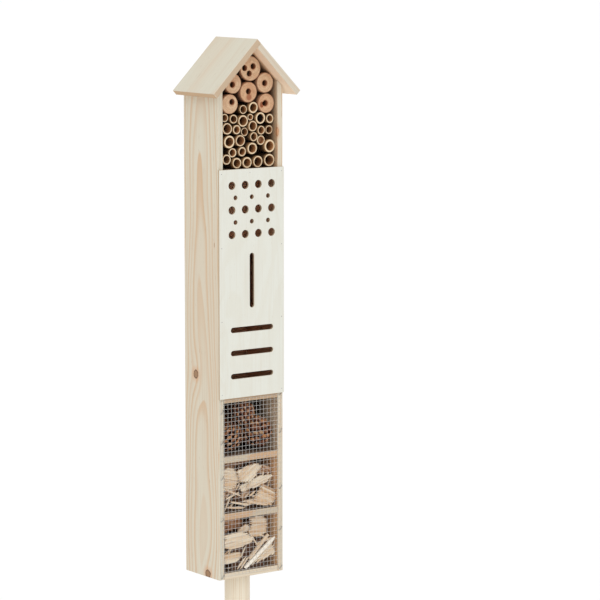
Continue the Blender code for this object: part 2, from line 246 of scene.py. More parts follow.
class FinishBench(Bench):
    """The bench for one material."""

    def __init__(self, name: str) -> None:
        """Start an empty material of that name."""
        self.material = bpy.data.materials.new(name)
        self.material.use_nodes = True
        super().__init__(self.material.node_tree)
        self.tree.nodes.clear()
        coordinates = self.add("ShaderNodeTexCoord").outputs
        self.place = coordinates["Object"]       # place on the piece, in metres
        self.facing = coordinates["Normal"]      # which way its surface faces

    def attribute(self, name: str) -> Socket:
        """Read one of the piece's own vector attributes."""
        return self.socket("ShaderNodeAttribute", {"attribute_name": name}, None, "Vector")

    def share(self, name: str) -> Signal:
        """Read one of the piece's own number attributes."""
        return self.signal("ShaderNodeAttribute", {"attribute_name": name}, None, "Fac")

    def mapped(self, vector: Socket, scale: Triple = (1, 1, 1), turn: Triple = (0, 0, 0),
               shift: Triple = (0, 0, 0)) -> Socket:
        """Scale, turn and shift a pattern.

        Args:
            vector: The coordinates.
            scale: Multiples along each axis.
            turn: Degrees about each axis.
            shift: Amount added at the end.

        Returns:
            The new coordinates.
        """
        turned = tuple(math.radians(angle) for angle in turn)
        return self.socket("ShaderNodeMapping", None, {
            "Vector": vector, "Scale": scale, "Rotation": turned, "Location": shift})

    def noise(self, vector: Socket, scale: Triple, detail: float = 2.0, rough: float = 0.5,
              bend: float = 0.0) -> Signal:
        """Add cloudy noise.

        Args:
            vector: The coordinates.
            scale: Cells per metre along each axis.
            detail: Octaves.
            rough: How strong the finer octaves are.
            bend: How far the noise bends itself.

        Returns:
            A value around 0.5.
        """
        return self.signal("ShaderNodeTexNoise", None, {
            "Vector": self.mapped(vector, scale), "Scale": 1.0, "Detail": detail, "Roughness": rough,
            "Distortion": bend})

    def chance(self, value: Signal) -> Signal:
        """Give each whole number its own value from 0 to 1."""
        return self.signal("ShaderNodeTexWhiteNoise", {"noise_dimensions": "1D"}, {"W": value})

    def coats(self, colour: Link, *coats: tuple) -> Socket:
        """Lay colours over one another.

        Args:
            colour: The colour underneath.
            coats: For each coat its amount, its colour and, if it isn't plain, its blend.

        Returns:
            The colour on top.
        """
        for amount, over, *blend in coats:
            settings = {"data_type": "RGBA", "blend_type": blend[0] if blend else "MIX", "clamp_factor": True}
            colour = self.socket("ShaderNodeMix", settings, {0: amount, 6: colour, 7: over}, 2)
        return colour

    def relief(self, *layers: tuple[Signal, float]) -> Socket:
        """Raise the surface by height patterns, one over another.

        Args:
            layers: For each pattern, its height from 0 to 1 and its relief in metres.

        Returns:
            The new normal.
        """
        normal = None
        for height, depth in layers:
            inputs = {"Height": height, "Distance": depth, "Strength": 1.0}
            normal = self.socket("ShaderNodeBump", None, inputs | ({"Normal": normal} if normal else {}))
        return normal

    def finish(self, colour: Link, roughness: Link, normal: Socket, metallic: float = 0.0,
               gloss: float = 0.5) -> Material:
        """End the tree in one Principled shader.

        Args:
            colour: Base colour.
            roughness: Roughness.
            normal: Surface normal.
            metallic: 1 for bare metal.
            gloss: Specular level of a non-metal.

        Returns:
            The finished material.
        """
        shader = self.socket("ShaderNodeBsdfPrincipled", None, {
            "Base Color": colour, "Roughness": roughness, "Normal": normal,
            "Metallic": metallic, "Specular IOR Level": gloss})
        self.add("ShaderNodeOutputMaterial", None, {"Surface": shader})
        return self.material


class FormBench(Bench):
    """The bench for one Geometry Nodes tree with named inputs."""

    KINDS = {float: "Float", int: "Int", tuple: "Vector", Material: "Material", Piece: "Object"}

    def __init__(self, name: str, parameters: dict[str, object]) -> None:
        """Start a tree.

        Args:
            name: The tree's name.
            parameters: Each input's name and value.
        """
        super().__init__(bpy.data.node_groups.new(name, "GeometryNodeTree"))
        self.name = name
        self.values = parameters
        self.identifiers: dict[str, str] = {}
        face = self.tree.interface
        face.new_socket("Geometry", in_out="INPUT", socket_type="NodeSocketGeometry")
        for label, value in parameters.items():
            kind = "NodeSocket" + self.KINDS[type(value)]
            self.identifiers[label] = face.new_socket(label, in_out="INPUT", socket_type=kind).identifier
        face.new_socket("Geometry", in_out="OUTPUT", socket_type="NodeSocketGeometry")
        self.entry = self.add("NodeGroupInput")

    def given(self, label: str) -> Socket:
        """The socket of one named input."""
        return self.entry.outputs[label]

    def form(self, kind: str, *details: object) -> Socket:
        """Add a geometry node as socket() does, its kind named without its prefix."""
        return self.socket("GeometryNode" + kind, *details)

    def number(self, label: str) -> Signal:
        """One named number, ready for arithmetic."""
        return Signal(self, self.given(label))

    def chance(self, low: float, high: float, seed: Value) -> Signal:
        """Give every point a number of its own.

        Args:
            low: Least value.
            high: Greatest value.
            seed: Seed of the draw.

        Returns:
            The number.
        """
        settings = {"data_type": "FLOAT"}
        return self.signal("FunctionNodeRandomValue", settings, {2: low, 3: high, "Seed": seed}, 1)

    def scatter(self, low: Link, high: Link, seed: Value) -> Socket:
        """Give every point a vector of its own.

        Args:
            low: Least value on each axis.
            high: Greatest value on each axis.
            seed: Seed of the draw.

        Returns:
            The vector.
        """
        settings = {"data_type": "FLOAT_VECTOR"}
        return self.socket("FunctionNodeRandomValue", settings, {0: low, 1: high, "Seed": seed})

    def copies(self, points: Socket, label: str, turn: Link, size: Link = (1.0, 1.0, 1.0),
               tone: Optional[Signal] = None) -> Socket:
        """Set a copy of one object on every point.

        Args:
            points: The points.
            label: The named input that holds the object.
            turn: Each copy's turn.
            size: Each copy's size.
            tone: Each copy's own tone, if the finish reads one.

        Returns:
            The copies.
        """
        source = self.form("ObjectInfo", {"transform_space": "ORIGINAL"}, {
            "Object": self.given(label)}, "Geometry")
        made = self.form("InstanceOnPoints", None, {
            "Points": points, "Instance": source, "Rotation": turn, "Scale": size})
        if tone is None:
            return made
        return self.form("StoreNamedAttribute", {"data_type": "FLOAT", "domain": "INSTANCE"}, {
            "Geometry": made, "Name": TONE, "Value": tone})

    def make(self, name: str, parts: list[Socket], smooth: bool = False,
             start: Optional[Mesh] = None) -> Piece:
        """Join the parts, give them their finish and keep the result as a plain mesh.

        Args:
            name: Name of the piece.
            parts: Geometry sockets.
            smooth: Whether faces are shaded smooth.
            start: Mesh the tree works on, if it needs one.

        Returns:
            The new piece, with no modifier.
        """
        joined = self.form("JoinGeometry", None, {0: parts})
        real = self.form("RealizeInstances", None, {0: joined})
        shaded = self.form("SetShadeSmooth", None, {"Geometry": real, "Shade Smooth": smooth})
        done = self.form("SetMaterial", None, {
            "Geometry": shaded, "Material": self.given("Finish")})
        self.add("NodeGroupOutput", None, {0: done})
        seedling = new_object(name + "_start", start or bpy.data.meshes.new(name + "_start"))
        modifier = seedling.modifiers.new(self.name, "NODES")
        modifier.node_group = self.tree
        for label, value in self.values.items():
            modifier[self.identifiers[label]] = value
        mesh = settled_mesh(seedling)
        bpy.data.objects.remove(seedling, do_unlink=True)
        mesh.name = name
        return new_object(name, mesh)


# ------------------------------------------------------------------- finishes

class Fibres(Enum):
    """Which way a board's fibres run: the degrees that stand them upright."""

    UPRIGHT = (0.0, 0.0, 0.0)
    UPRIGHT_FACING_FRONT = (0.0, 0.0, 90.0)
    LEVEL = (0.0, 90.0, 0.0)
    DOWN_LEFT_SLOPE = (0.0, -45.0, 0.0)
    DOWN_RIGHT_SLOPE = (0.0, 45.0, 0.0)


@dataclass(frozen=True)
class Knot:
    """A branch knot in a board, on the board's own axes."""

    across: float            # along the board's width
    along: float             # along the fibres
    radius: float
    tall: float = 1.0        # height for its width
    swell: float = 0.006     # how far the rings bend round it
    dark: float = 0.8
    depth: Optional[float] = None   # place in the thickness, for one that doesn't go through


@dataclass(frozen=True)
class RoomLightAndShade:
    """Painted light and shade on the wood that faces into the rooms: painted shade darkens it deeper in, and
    painted bounce light warms and lightens the walls and chambers.

    A pair of places is where a tone starts and where it is full.
    """

    walls: Pair = (0.0486, 0.0479)           # from the middle, either way
    back: Pair = (0.0417, 0.0409)
    floor: Pair = (0.3084, 0.3091)
    gable: Pair = (1.0722, 1.0711)           # height and distance from the middle, added
    front: Pair = (-0.0362, -0.0320)
    low_rooms: Pair = (0.570, 0.569)
    top_room: Pair = (0.890, 0.892)
    chip_rooms: Pair = (0.4810, 0.4800)
    cone_room: Pair = (0.4800, 0.4810)
    chambers: Pair = (0.5690, 0.5700)
    chamber_ceiling: Pair = (0.8880, 0.8870)
    upper_chamber: Pair = (0.7895, 0.7905)
    side_faces: Pair = (0.0440, 0.0460)
    depth: Pair = (-0.026, 0.012)
    low_depth: Pair = (-0.008, 0.020)
    top_depth: Pair = (-0.035, -0.016)
    # painted light and shade: light on the chip rooms' side walls, warm bounce light, shade deep in, shadow in
    # the cone room, shade on the low floors' tops, bounce light in the chambers
    painted_wall_light: Colour = tint(246, 205, 158)
    painted_bounce_warmth: Colour = tint(228, 200, 172)
    brown: Colour = tint(130, 88, 58)
    painted_cone_room_shadow: Colour = tint(40, 28, 22)
    painted_floor_shade: Colour = tint(92, 60, 42)
    slot_chamber: Colour = tint(216, 164, 132)
    hole_chamber: Colour = tint(255, 212, 180)

    def tone(self, bench: FinishBench, colour: Socket) -> Socket:
        """Paint light and shade on the faces in the rooms.

        Args:
            bench: The material's bench.
            colour: Colour of the wood outside.

        Returns:
            The colour with light and shade painted in its rooms.
        """
        x, y, z = bench.split(bench.place)
        _, _, upward = bench.split(bench.facing)
        room = abs(x).ramp(*self.walls) * y.ramp(*self.back) * z.ramp(*self.floor)
        room = room * (abs(x) + z).ramp(*self.gable)
        front = y.ramp(*self.front)
        low = z.ramp(*self.low_rooms)
        # painted shade, stronger the further back a face lies
        deep = y.ramp(*self.depth) * (1 - low) + y.ramp(*self.low_depth) * low
        deep = deep.most(y.ramp(*self.top_depth) * z.ramp(*self.top_room) * 1.5)
        chamber = z.ramp(*self.chambers) * z.ramp(*self.chamber_ceiling)
        # painted deep shadow at the back of the cone room
        cones = z.ramp(*self.cone_room) * low
        upper = z.ramp(0.55, 0.60) * 0.4 + 0.5
        # painted light on the side walls of the chip rooms
        chips = room * front * z.ramp(*self.chip_rooms) * abs(x).ramp(*self.side_faces)
        # painted bounce light on the chamber walls behind the panel
        chamber_bounce_light = bench.coats(self.slot_chamber, (z.ramp(*self.upper_chamber), self.hole_chamber))
        return bench.coats(
            colour, (chips * 0.85, self.painted_wall_light), (room * front * upper, self.painted_bounce_warmth, "MULTIPLY"),
            (room * deep * 0.5, self.brown), (room * deep * cones * 0.9, self.painted_cone_room_shadow),
            (room * front * low * upward.ramp(0.5, 0.7) * 0.75, self.painted_floor_shade),
            (room * front * chamber, chamber_bounce_light))


@dataclass(frozen=True)
class PineFinish:
    """Planed pine: rings cut through by the board, fibres, knots, end grain, with painted light and shade in
    the rooms and under the roof.
    """

    name: str
    fibres: Fibres
    heart: Pair              # tree's heart across the thickness and the width
    seed: float
    ring: float = 0.0034
    drift: float = 0.018     # how fast the heart runs out of the board
    contrast: float = 0.85
    early: Colour = tint(214, 206, 187)
    late: Colour = tint(206, 172, 136)
    end: Colour = tint(184, 152, 116)
    end_amount: float = 0.7
    edge: Colour = tint(218, 205, 182)
    edge_amount: float = 0.0
    blush: Optional[Pair] = None     # across the house: where orange heartwood starts and is full
    under: Optional[Colour] = None   # painted bounce light: a roof board's underside painted warmer and lighter
    # paints light and shade on the faces in the rooms
    rooms: Optional[RoomLightAndShade] = RoomLightAndShade()
    knots: tuple[Knot, ...] = ()
    knot_heart: Colour = tint(158, 122, 88)
    knot_rim: Colour = tint(84, 54, 36)
    knot_glow: Colour = tint(206, 150, 104)
    cloudy: Colour = tint(209, 184, 156)
    streaky: Colour = tint(196, 174, 147)
    fibrous: Colour = tint(182, 156, 126)
    resin: Colour = tint(150, 104, 66)
    orange: Colour = tint(200, 148, 100)
    end_ring: Colour = tint(168, 128, 88)

    def build(self) -> Material:
        """Make the material.

        Returns:
            The material.
        """
        bench = FinishBench(self.name)
        place = bench.mapped(bench.place, turn=self.fibres.value)
        seeded = bench.mapped(place, shift=(self.seed, self.seed * 0.7, self.seed * 1.3))
        thick, wide, along = bench.split(place)
        core, halo, knot_ring, glow = self._knots(bench, thick, wide, along)

        bend = bench.noise(seeded, (9, 9, 2.6), 2.0)
        sway = bench.noise(seeded, (30, 30, 7), 1.0)
        out = thick - self.heart[0] - along * self.drift
        side = wide - self.heart[1]
        reach = (out * out + side * side) ** 0.5 + (bend - 0.5) * 0.020 + (sway - 0.5) * 0.0016
        if halo is not None:
            reach = reach + halo
        ring = reach / self.ring
        number = ring.floor()
        phase = ring - number
        strength = bench.chance(number) * 0.75 + 0.25
        late = phase.ramp(0.30, 0.90) * phase.ramp(1.0, 0.93) * strength * self.contrast

        fibre = bench.noise(seeded, (1500, 1500, 24), 3.0, 0.6)
        streak = bench.noise(seeded, (420, 420, 6), 2.0, 0.55)
        cloud = bench.noise(seeded, (16, 16, 3), 2.0)
        resin = bench.noise(seeded, (700, 700, 60), 1.0).ramp(0.71, 0.78)
        colour = bench.coats(
            self.early, (late, self.late), (cloud.ramp(0.42, 0.72) * 0.25, self.cloudy),
            (streak.ramp(0.48, 0.78) * 0.38, self.streaky), (fibre.ramp(0.50, 0.85) * 0.25, self.fibrous),
            (resin * 0.35, self.resin))
        if core is not None:
            branch = bench.coats(self.knot_heart, (knot_ring, self.knot_rim))
            colour = bench.coats(colour, (glow * 0.5, self.knot_glow), (core, branch))

        _, toward_edge, toward_end = bench.split(bench.mapped(bench.facing, turn=self.fibres.value))
        end_mask = abs(toward_end).ramp(0.75, 0.95)
        edge_mask = abs(toward_edge).ramp(0.75, 0.95)
        if self.edge_amount:
            colour = bench.coats(colour, (edge_mask * self.edge_amount, self.edge))
        if self.blush:
            x, _, _ = bench.split(bench.place)
            orange = (x + (streak - 0.5) * 0.05).ramp(*self.blush)
            colour = bench.coats(colour, (orange * edge_mask * 0.55, self.orange))
        # painted bounce light on the underside of a roof board
        if self.under:
            _, _, upward = bench.split(bench.facing)
            colour = bench.coats(colour, (upward.ramp(-0.5, -0.7) * 0.85, self.under))
        end_colour = bench.coats(self.end, (late * 0.9, self.end_ring))
        colour = bench.coats(colour, (end_mask * self.end_amount, end_colour))
        # paint light and shade in the rooms
        if self.rooms:
            colour = self.rooms.tone(bench, colour)
        relief = bench.relief((fibre, 0.00012), (late, 0.00006))
        return bench.finish(colour, 0.56 + fibre * 0.16 + end_mask * 0.15, relief, gloss=0.35)

    def _knots(self, bench: FinishBench, thick: Signal, wide: Signal, along: Signal) -> tuple:
        """Add every knot: its core, its rim and glow, and the bend it gives the rings.

        Args:
            bench: The material's bench.
            thick: Place through the board's thickness.
            wide: Place across the board's width.
            along: Place along its fibres.

        Returns:
            Core mask, ring bend in metres, rim mask and glow, or four Nones.
        """
        core = halo = rim = glow = None
        for knot in self.knots:
            x = (wide - knot.across) / knot.radius
            z = (along - knot.along) / (knot.radius * knot.tall)
            flat = x * x + z * z
            if knot.depth is not None:
                through = (thick - knot.depth) / knot.radius
                flat = flat + through * through
            near = flat ** 0.5
            rough = bench.noise(bench.place, (330, 330, 330), 2.0)
            edge = near + (rough - 0.5) * 0.5
            inside = edge.ramp(1.08, 0.92) * knot.dark
            spread = (2.718 ** ((x * x * 0.16 + z * z * 0.035) * -1.0)) * knot.swell
            turns = near * 2.6 + rough
            own = (turns - turns.floor()).ramp(0.2, 0.9) * 0.35 + edge.ramp(0.66, 0.90) * (rough * 1.1 + 0.25)
            warm = near.ramp(2.4, 0.9) * knot.dark
            core = inside if core is None else core.most(inside)
            halo = spread if halo is None else halo + spread
            glow = warm if glow is None else glow.most(warm)
            rim = own if rim is None else rim * near.ramp(0.9, 1.3) + own * near.ramp(1.3, 0.9)
        return core, halo, rim, glow


@dataclass(frozen=True)
class PlywoodFinish:
    """Pale peeled veneer, with its three plies showing on cut edges."""

    name: str = "plywood_face"
    front: float = -0.0393
    thickness: float = 0.003
    face: Colour = tint(222, 222, 212)
    band: Colour = tint(213, 207, 190)
    streaky: Colour = tint(212, 207, 192)
    fibrous: Colour = tint(194, 187, 168)
    fleck: Colour = tint(182, 160, 128)
    ply: Colour = tint(206, 184, 150)
    middle_ply: Colour = tint(160, 124, 86)
    torn: Colour = tint(150, 118, 84)

    def build(self) -> Material:
        """Make the material.

        Returns:
            The material.
        """
        bench = FinishBench(self.name)
        _, deep, _ = bench.split(bench.place)
        wave = bench.noise(bench.place, (14, 14, 3.0), 3.0, 0.55, 0.6) * 11
        wave = wave - wave.floor()
        figure = wave.ramp(0.15, 0.75) * wave.ramp(1.0, 0.8)
        fibre = bench.noise(bench.place, (1500, 300, 26), 3.0, 0.6)
        streak = bench.noise(bench.place, (330, 60, 7), 2.0)
        fleck = bench.noise(bench.place, (900, 200, 120), 1.0).ramp(0.72, 0.80)
        _, toward_front, _ = bench.split(bench.facing)
        cut = abs(toward_front).ramp(0.8, 0.5)
        depth = (deep - self.front) / self.thickness
        middle = depth.ramp(0.30, 0.36) * depth.ramp(0.70, 0.64)
        edge = bench.coats(self.ply, (middle, self.middle_ply), (fibre * 0.4, self.torn))
        colour = bench.coats(
            self.face, (figure * 0.22, self.band), (streak.ramp(0.50, 0.80) * 0.35, self.streaky),
            (fibre.ramp(0.50, 0.85) * 0.22, self.fibrous), (fleck * 0.35, self.fleck), (cut * 0.85, edge))
        return bench.finish(colour, 0.58 + fibre * 0.14, bench.relief((fibre, 0.00008)), gloss=0.35)


@dataclass(frozen=True)
class BranchFinish:
    """Sawn branch: rings on the ends, a pink inner bark rim, dark drill walls."""

    name: str = "sawn_branch"
    pale: Colour = tint(226, 194, 158)
    ring: Colour = tint(170, 122, 88)
    cloudy: Colour = tint(196, 148, 112)
    mottled: Colour = tint(176, 128, 96)
    pore: Colour = tint(158, 112, 80)
    saw_mark: Colour = tint(228, 200, 168)
    weathered: Colour = tint(236, 200, 176)
    heart: Colour = tint(146, 78, 54)
    halo: Colour = tint(170, 112, 78)
    rim: Colour = tint(156, 104, 74)
    drilled: Colour = tint(164, 96, 60)
    shadow: Colour = tint(62, 38, 26)

    def build(self) -> Material:
        """Make the material.

        Returns:
            The material.
        """
        bench = FinishBench(self.name)
        place, tone = bench.attribute(GRAIN), bench.share(TONE)
        x, y, _ = bench.split(place)
        _, deep, _ = bench.split(bench.place)
        sway = bench.noise(place, (110, 110, 12), 2.0)
        reach = (x * x + y * y) ** 0.5
        rings = (reach + (sway - 0.5) * 0.0034) / 0.00155
        number = rings.floor()
        phase = rings - number
        late = phase.ramp(0.35, 0.9) * phase.ramp(1.0, 0.9) * (bench.chance(number) * 0.7 + 0.3)
        saw = bench.noise(bench.mapped(place, turn=(0, 0, 24)), (60, 1700, 1), 2.0)
        pore = bench.noise(place, (1900, 1900, 40), 2.0, 0.6)
        cloud = bench.noise(place, (70, 70, 10), 2.0)
        mottle = bench.noise(place, (420, 420, 30), 3.0, 0.65)
        heart = (reach - tone * 0.0045).ramp(0.0026, 0.0013)
        halo = (reach + (mottle - 0.5) * 0.004).ramp(0.0062, 0.0036)
        rim = (bench.share(SHARE) + (sway - 0.5) * 0.06).ramp(0.90, 0.98)
        colour = bench.coats(
            self.pale, (late, self.ring), (cloud.ramp(0.40, 0.68) * 0.6, self.cloudy),
            (mottle.ramp(0.48, 0.70) * 0.5, self.mottled), (pore.ramp(0.5, 0.8) * 0.35, self.pore),
            (saw.ramp(0.52, 0.72) * 0.3, self.saw_mark), (tone * 0.8, self.weathered, "MULTIPLY"),
            (heart * 0.85, self.heart), (halo * 0.55, self.halo), (rim * 0.8, self.rim),
            (bench.share(WALL) * 0.85, self.drilled), (deep.ramp(-0.0325, -0.022) * 0.88, self.shadow))
        relief = bench.relief((saw, 0.00016), (pore, 0.00010))
        return bench.finish(colour, 0.62 + pore * 0.2, relief, gloss=0.3)


@dataclass(frozen=True)
class BambooFinish:
    """Cut bamboo: fibrous pale rim, waxy skin, pithy brown lining painted darker deeper in as shade, near black
    in a few tubes.
    """

    name: str = "cut_bamboo"
    rim: Colour = tint(238, 217, 182)
    bundles: Colour = tint(170, 126, 84)
    outer_rim: Colour = tint(186, 146, 98)
    inner_rim: Colour = tint(164, 122, 82)
    skin: Colour = tint(190, 148, 100)
    skin_streak: Colour = tint(172, 132, 82)
    skin_shadow: Colour = tint(52, 34, 22)
    lining: Colour = tint(184, 130, 82)
    lining_cloud: Colour = tint(120, 84, 54)
    # painted shade deeper inside the tube
    lining_painted_shade: Colour = tint(104, 68, 42)
    # near-black lining past halfway in, for the tubes listed as dark-lined
    dark_lining: Colour = tint(26, 26, 26)
    lining_shadow: Colour = tint(78, 48, 28)
    aged: Colour = tint(158, 118, 78)

    def build(self) -> Material:
        """Make the material.

        Returns:
            The material.
        """
        bench = FinishBench(self.name)
        place = bench.attribute(GRAIN)
        outer, inside = bench.share(SHARE), bench.share(WALL)
        _, deep, _ = bench.split(bench.place)
        _, toward_mouth, _ = bench.split(bench.facing)
        bundle = bench.noise(place, (2300, 2300, 14), 1.0)
        streak = bench.noise(place, (520, 520, 9), 2.0)
        cloud = bench.noise(place, (90, 90, 14), 2.0)
        rim = bench.coats(
            self.rim, (bundle.ramp(0.48, 0.66) * 0.5, self.bundles),
            (outer.ramp(0.80, 0.97) * 0.55, self.outer_rim), (outer.ramp(0.22, 0.02) * 0.5, self.inner_rim))
        skin = bench.coats(
            self.skin, (streak.ramp(0.45, 0.75) * 0.5, self.skin_streak),
            (deep.ramp(-0.0340, -0.022) * 0.92, self.skin_shadow))
        # the lining is painted darker deeper in as shade, and near black in the dark-lined tubes
        lining = bench.coats(
            self.lining, (cloud.ramp(0.35, 0.7), self.lining_cloud),
            (inside.ramp(0.55, 1.0) * 0.5, self.lining_painted_shade), (inside.ramp(1.0, 1.6) * 0.95, self.dark_lining),
            (deep.ramp(-0.029, -0.006) * 0.75, self.lining_shadow))
        mouth = (-toward_mouth).ramp(0.55, 0.85) * inside.ramp(0.5, 0.3)
        colour = bench.coats(
            lining, (outer.ramp(0.4, 0.6), skin), (mouth, rim),
            (bench.share(TONE) * 0.35, self.aged, "MULTIPLY"))
        relief = bench.relief((bundle, 0.00010), (streak, 0.00008))
        return bench.finish(colour, 0.5 + bundle * 0.2, relief, gloss=0.4)


@dataclass(frozen=True)
class ConeFinish:
    """Open pine cone: near black towards the scales' roots, dark wood with painted shade; tan and grey on their
    tips, paler wood with some painted highlight.
    """

    name: str = "cone_scales"
    # the scales' roots: their dark wood, darkened further as painted shade
    deep: Colour = tint(38, 22, 17)
    mid: Colour = tint(100, 54, 36)
    tip: Colour = tint(204, 146, 92)
    grey: Colour = tint(176, 142, 104)
    speck: Colour = tint(44, 27, 20)
    ridge: Colour = tint(150, 106, 70)

    def build(self) -> Material:
        """Make the material.

        Returns:
            The material.
        """
        bench = FinishBench(self.name)
        out, tone = bench.share(SHARE), bench.share(TONE)
        speck = bench.noise(bench.place, (900, 900, 900), 3.0, 0.6)
        cloud = bench.noise(bench.place, (240, 240, 240), 2.0)
        ridge = bench.noise(bench.attribute(GRAIN), (60, 1800, 900), 2.0)
        # the tips: their paler wood, lightened further as painted highlight
        tip = (out + (cloud - 0.5) * 0.22).ramp(0.90, 1.04) * (tone * 0.9 + 0.1)
        tip_colour = bench.coats(self.tip, ((tone + (cloud - 0.5) * 0.5).ramp(0.78, 0.95), self.grey))
        colour = bench.coats(
            self.deep, ((out + (cloud - 0.5) * 0.25).ramp(0.45, 0.86), self.mid), (tip * 0.95, tip_colour),
            (speck.ramp(0.52, 0.75) * 0.4, self.speck), (ridge.ramp(0.55, 0.75) * 0.25, self.ridge))
        relief = bench.relief((ridge, 0.00018), (speck, 0.00018))
        return bench.finish(colour, 0.6 + speck * 0.25, relief, gloss=0.35)


@dataclass(frozen=True)
class SplitWoodFinish:
    """Split wood: long torn fibres and a tone of its own for each strip."""

    name: str = "split_wood"
    pale: Colour = tint(231, 216, 192)
    warm: Colour = tint(208, 169, 126)
    dark: Colour = tint(146, 98, 68)
    fibrous: Colour = tint(176, 138, 100)
    darkest: Colour = tint(122, 84, 58)
    whitest: Colour = tint(246, 239, 226)
    shade: Colour = tint(168, 108, 72)
    shadow: Colour = tint(104, 58, 38)

    def build(self) -> Material:
        """Make the material.

        Returns:
            The material.
        """
        bench = FinishBench(self.name)
        place, tone = bench.attribute(GRAIN), bench.share(TONE)
        _, deep, _ = bench.split(bench.place)
        fibre = bench.noise(place, (1500, 1500, 36), 3.0, 0.65)
        streak = bench.noise(place, (480, 480, 12), 2.0)
        band = bench.noise(place, (110, 110, 10), 2.0)
        colour = bench.coats(
            self.pale, (band.ramp(0.40, 0.72) * 0.65, self.warm), (tone.ramp(0.35, 1.0) * 0.85, self.warm),
            (streak.ramp(0.52, 0.78) * 0.5, self.dark), (fibre.ramp(0.55, 0.85) * 0.35, self.fibrous),
            (tone.ramp(0.90, 0.97) * 0.5, self.darkest), (tone.ramp(0.04, 0.0) * 0.8, self.whitest),
            (deep.ramp(-0.030, -0.016) * 0.55, self.shade), (deep.ramp(-0.016, 0.006) * 0.85, self.shadow))
        relief = bench.relief((fibre, 0.00025), (streak, 0.0003))
        return bench.finish(colour, 0.66 + fibre * 0.18, relief, gloss=0.3)


@dataclass(frozen=True)
class MetalFinish:
    """Zinc-coated or bare steel wire with a mottled, slightly dulled skin."""

    name: str
    bright: Colour = tint(222, 220, 216)
    dull: Colour = tint(184, 183, 180)
    rusty: Colour = tint(124, 74, 44)
    rust: float = 0.0
    metallic: float = 0.2

    def build(self) -> Material:
        """Make the material.

        Returns:
            The material.
        """
        bench = FinishBench(self.name)
        spangle = bench.signal("ShaderNodeTexVoronoi", {"feature": "F1"}, {
            "Vector": bench.place, "Scale": 900.0}, "Distance")
        cloud = bench.noise(bench.place, (160, 160, 160), 3.0)
        scuff = bench.noise(bench.place, (2600, 2600, 2600), 2.0)
        colour = bench.coats(
            self.bright, (spangle.ramp(0.2, 0.7) * 0.5, self.dull), (cloud.ramp(0.45, 0.75) * 0.45, self.dull))
        if self.rust:
            colour = bench.coats(colour, (cloud.ramp(0.5, 0.7) * self.rust, self.rusty))
        return bench.finish(colour, 0.34 + cloud * 0.22, bench.relief((scuff, 0.00003)), metallic=self.metallic)


# --------------------------------------------------------------- mesh helpers

def new_object(name: str, data: object) -> Piece:
    """Put a new object in the scene, at the origin."""
    piece = bpy.data.objects.new(name, data)
    bpy.context.scene.collection.objects.link(piece)
    return piece


def settled_mesh(piece: Piece) -> Mesh:
    """Copy a piece's mesh as its modifiers leave it."""
    depsgraph = bpy.context.evaluated_depsgraph_get()
    return bpy.data.meshes.new_from_object(piece.evaluated_get(depsgraph), depsgraph=depsgraph)


def make_piece(name: str, shape: Shape, finish: Optional[Material] = None, sharp: float = 35.0) -> Piece:
    """Turn an edited shape into a piece at the origin.

    Args:
        name: Name of the piece.
        shape: The shape, which is used up.
        finish: Its material, if it stays in the scene.
        sharp: Degrees past which an edge stays sharp.

    Returns:
        The new object.
    """
    bmesh.ops.recalc_face_normals(shape, faces=shape.faces)
    mesh = bpy.data.meshes.new(name)
    shape.to_mesh(mesh)
    shape.free()
    if finish:
        mesh.materials.append(finish)
        mesh.shade_smooth()
        mesh.set_sharp_from_angle(angle=math.radians(sharp))
    return new_object(name, mesh)


def write(mesh: Mesh, name: str, of_point: Callable[[Vector], Union[float, Vector]]) -> None:
    """Store an attribute for every vertex: a vector for the grain, a number for the rest.

    Args:
        mesh: The mesh that takes it.
        name: The attribute's name.
        of_point: Works the value out from a vertex's place.
    """
    kind, holder = ("FLOAT_VECTOR", "vector") if name == GRAIN else ("FLOAT", "value")
    layer = mesh.attributes.new(name, kind, "POINT")
    for vertex, item in zip(mesh.vertices, layer.data):
        setattr(item, holder, of_point(vertex.co))


def ring_of(shape: Shape, points: Iterable[Vector], values: Optional[dict] = None) -> Ring:
    """Add one ring of points to a shape.

    Args:
        shape: The shape.
        points: Their places, in order.
        values: Value of each layer at all of them.

    Returns:
        The new vertices.
    """
    made = [shape.verts.new(point) for point in points]
    for layer, value in (values or {}).items():
        for vertex in made:
            vertex[layer] = value
    return made


def loft(shape: Shape, rings: Sequence[Ring], closed: bool = False) -> None:
    """Join rings of the same count in order with bands of faces.

    Args:
        shape: The shape.
        rings: The rings.
        closed: Whether each end takes one flat face.
    """
    for first, last in zip(rings, rings[1:]):
        for step in range(len(first)):
            after = (step + 1) % len(first)
            shape.faces.new((first[step], first[after], last[after], last[step]))
    if closed:
        shape.faces.new(rings[0])
        shape.faces.new(rings[-1])


def fan(shape: Shape, ring: Ring, tip: Vector, values: Optional[dict] = None) -> None:
    """Close a ring with a fan of faces to one point.

    Args:
        shape: The shape.
        ring: The ring.
        tip: Place of the point.
        values: Value of each layer at the point.
    """
    middle = ring_of(shape, [tip], values)[0]
    for step in range(len(ring)):
        shape.faces.new((ring[step], ring[(step + 1) % len(ring)], middle))


def turns(count: int) -> list[float]:
    """Angles of evenly spaced steps round a circle."""
    return [2 * math.pi * step / count for step in range(count)]


def waves_of(rng: random.Random, least: float, most: float, counts: Sequence[int]) -> list[Triple]:
    """Draw a few waves that run round a ring.

    Args:
        rng: Source of the draws.
        least: Least size.
        most: Greatest size.
        counts: How often each wave repeats in one turn.

    Returns:
        Repeats, size and start of each.
    """
    return [(count, rng.uniform(least, most), rng.uniform(0, 6.28)) for count in counts]


def uneven(angle: float, waves: Sequence[Triple]) -> float:
    """Sum the waves at one angle, for a ring that isn't quite round."""
    return sum(size * math.sin(count * angle + start) for count, size, start in waves)


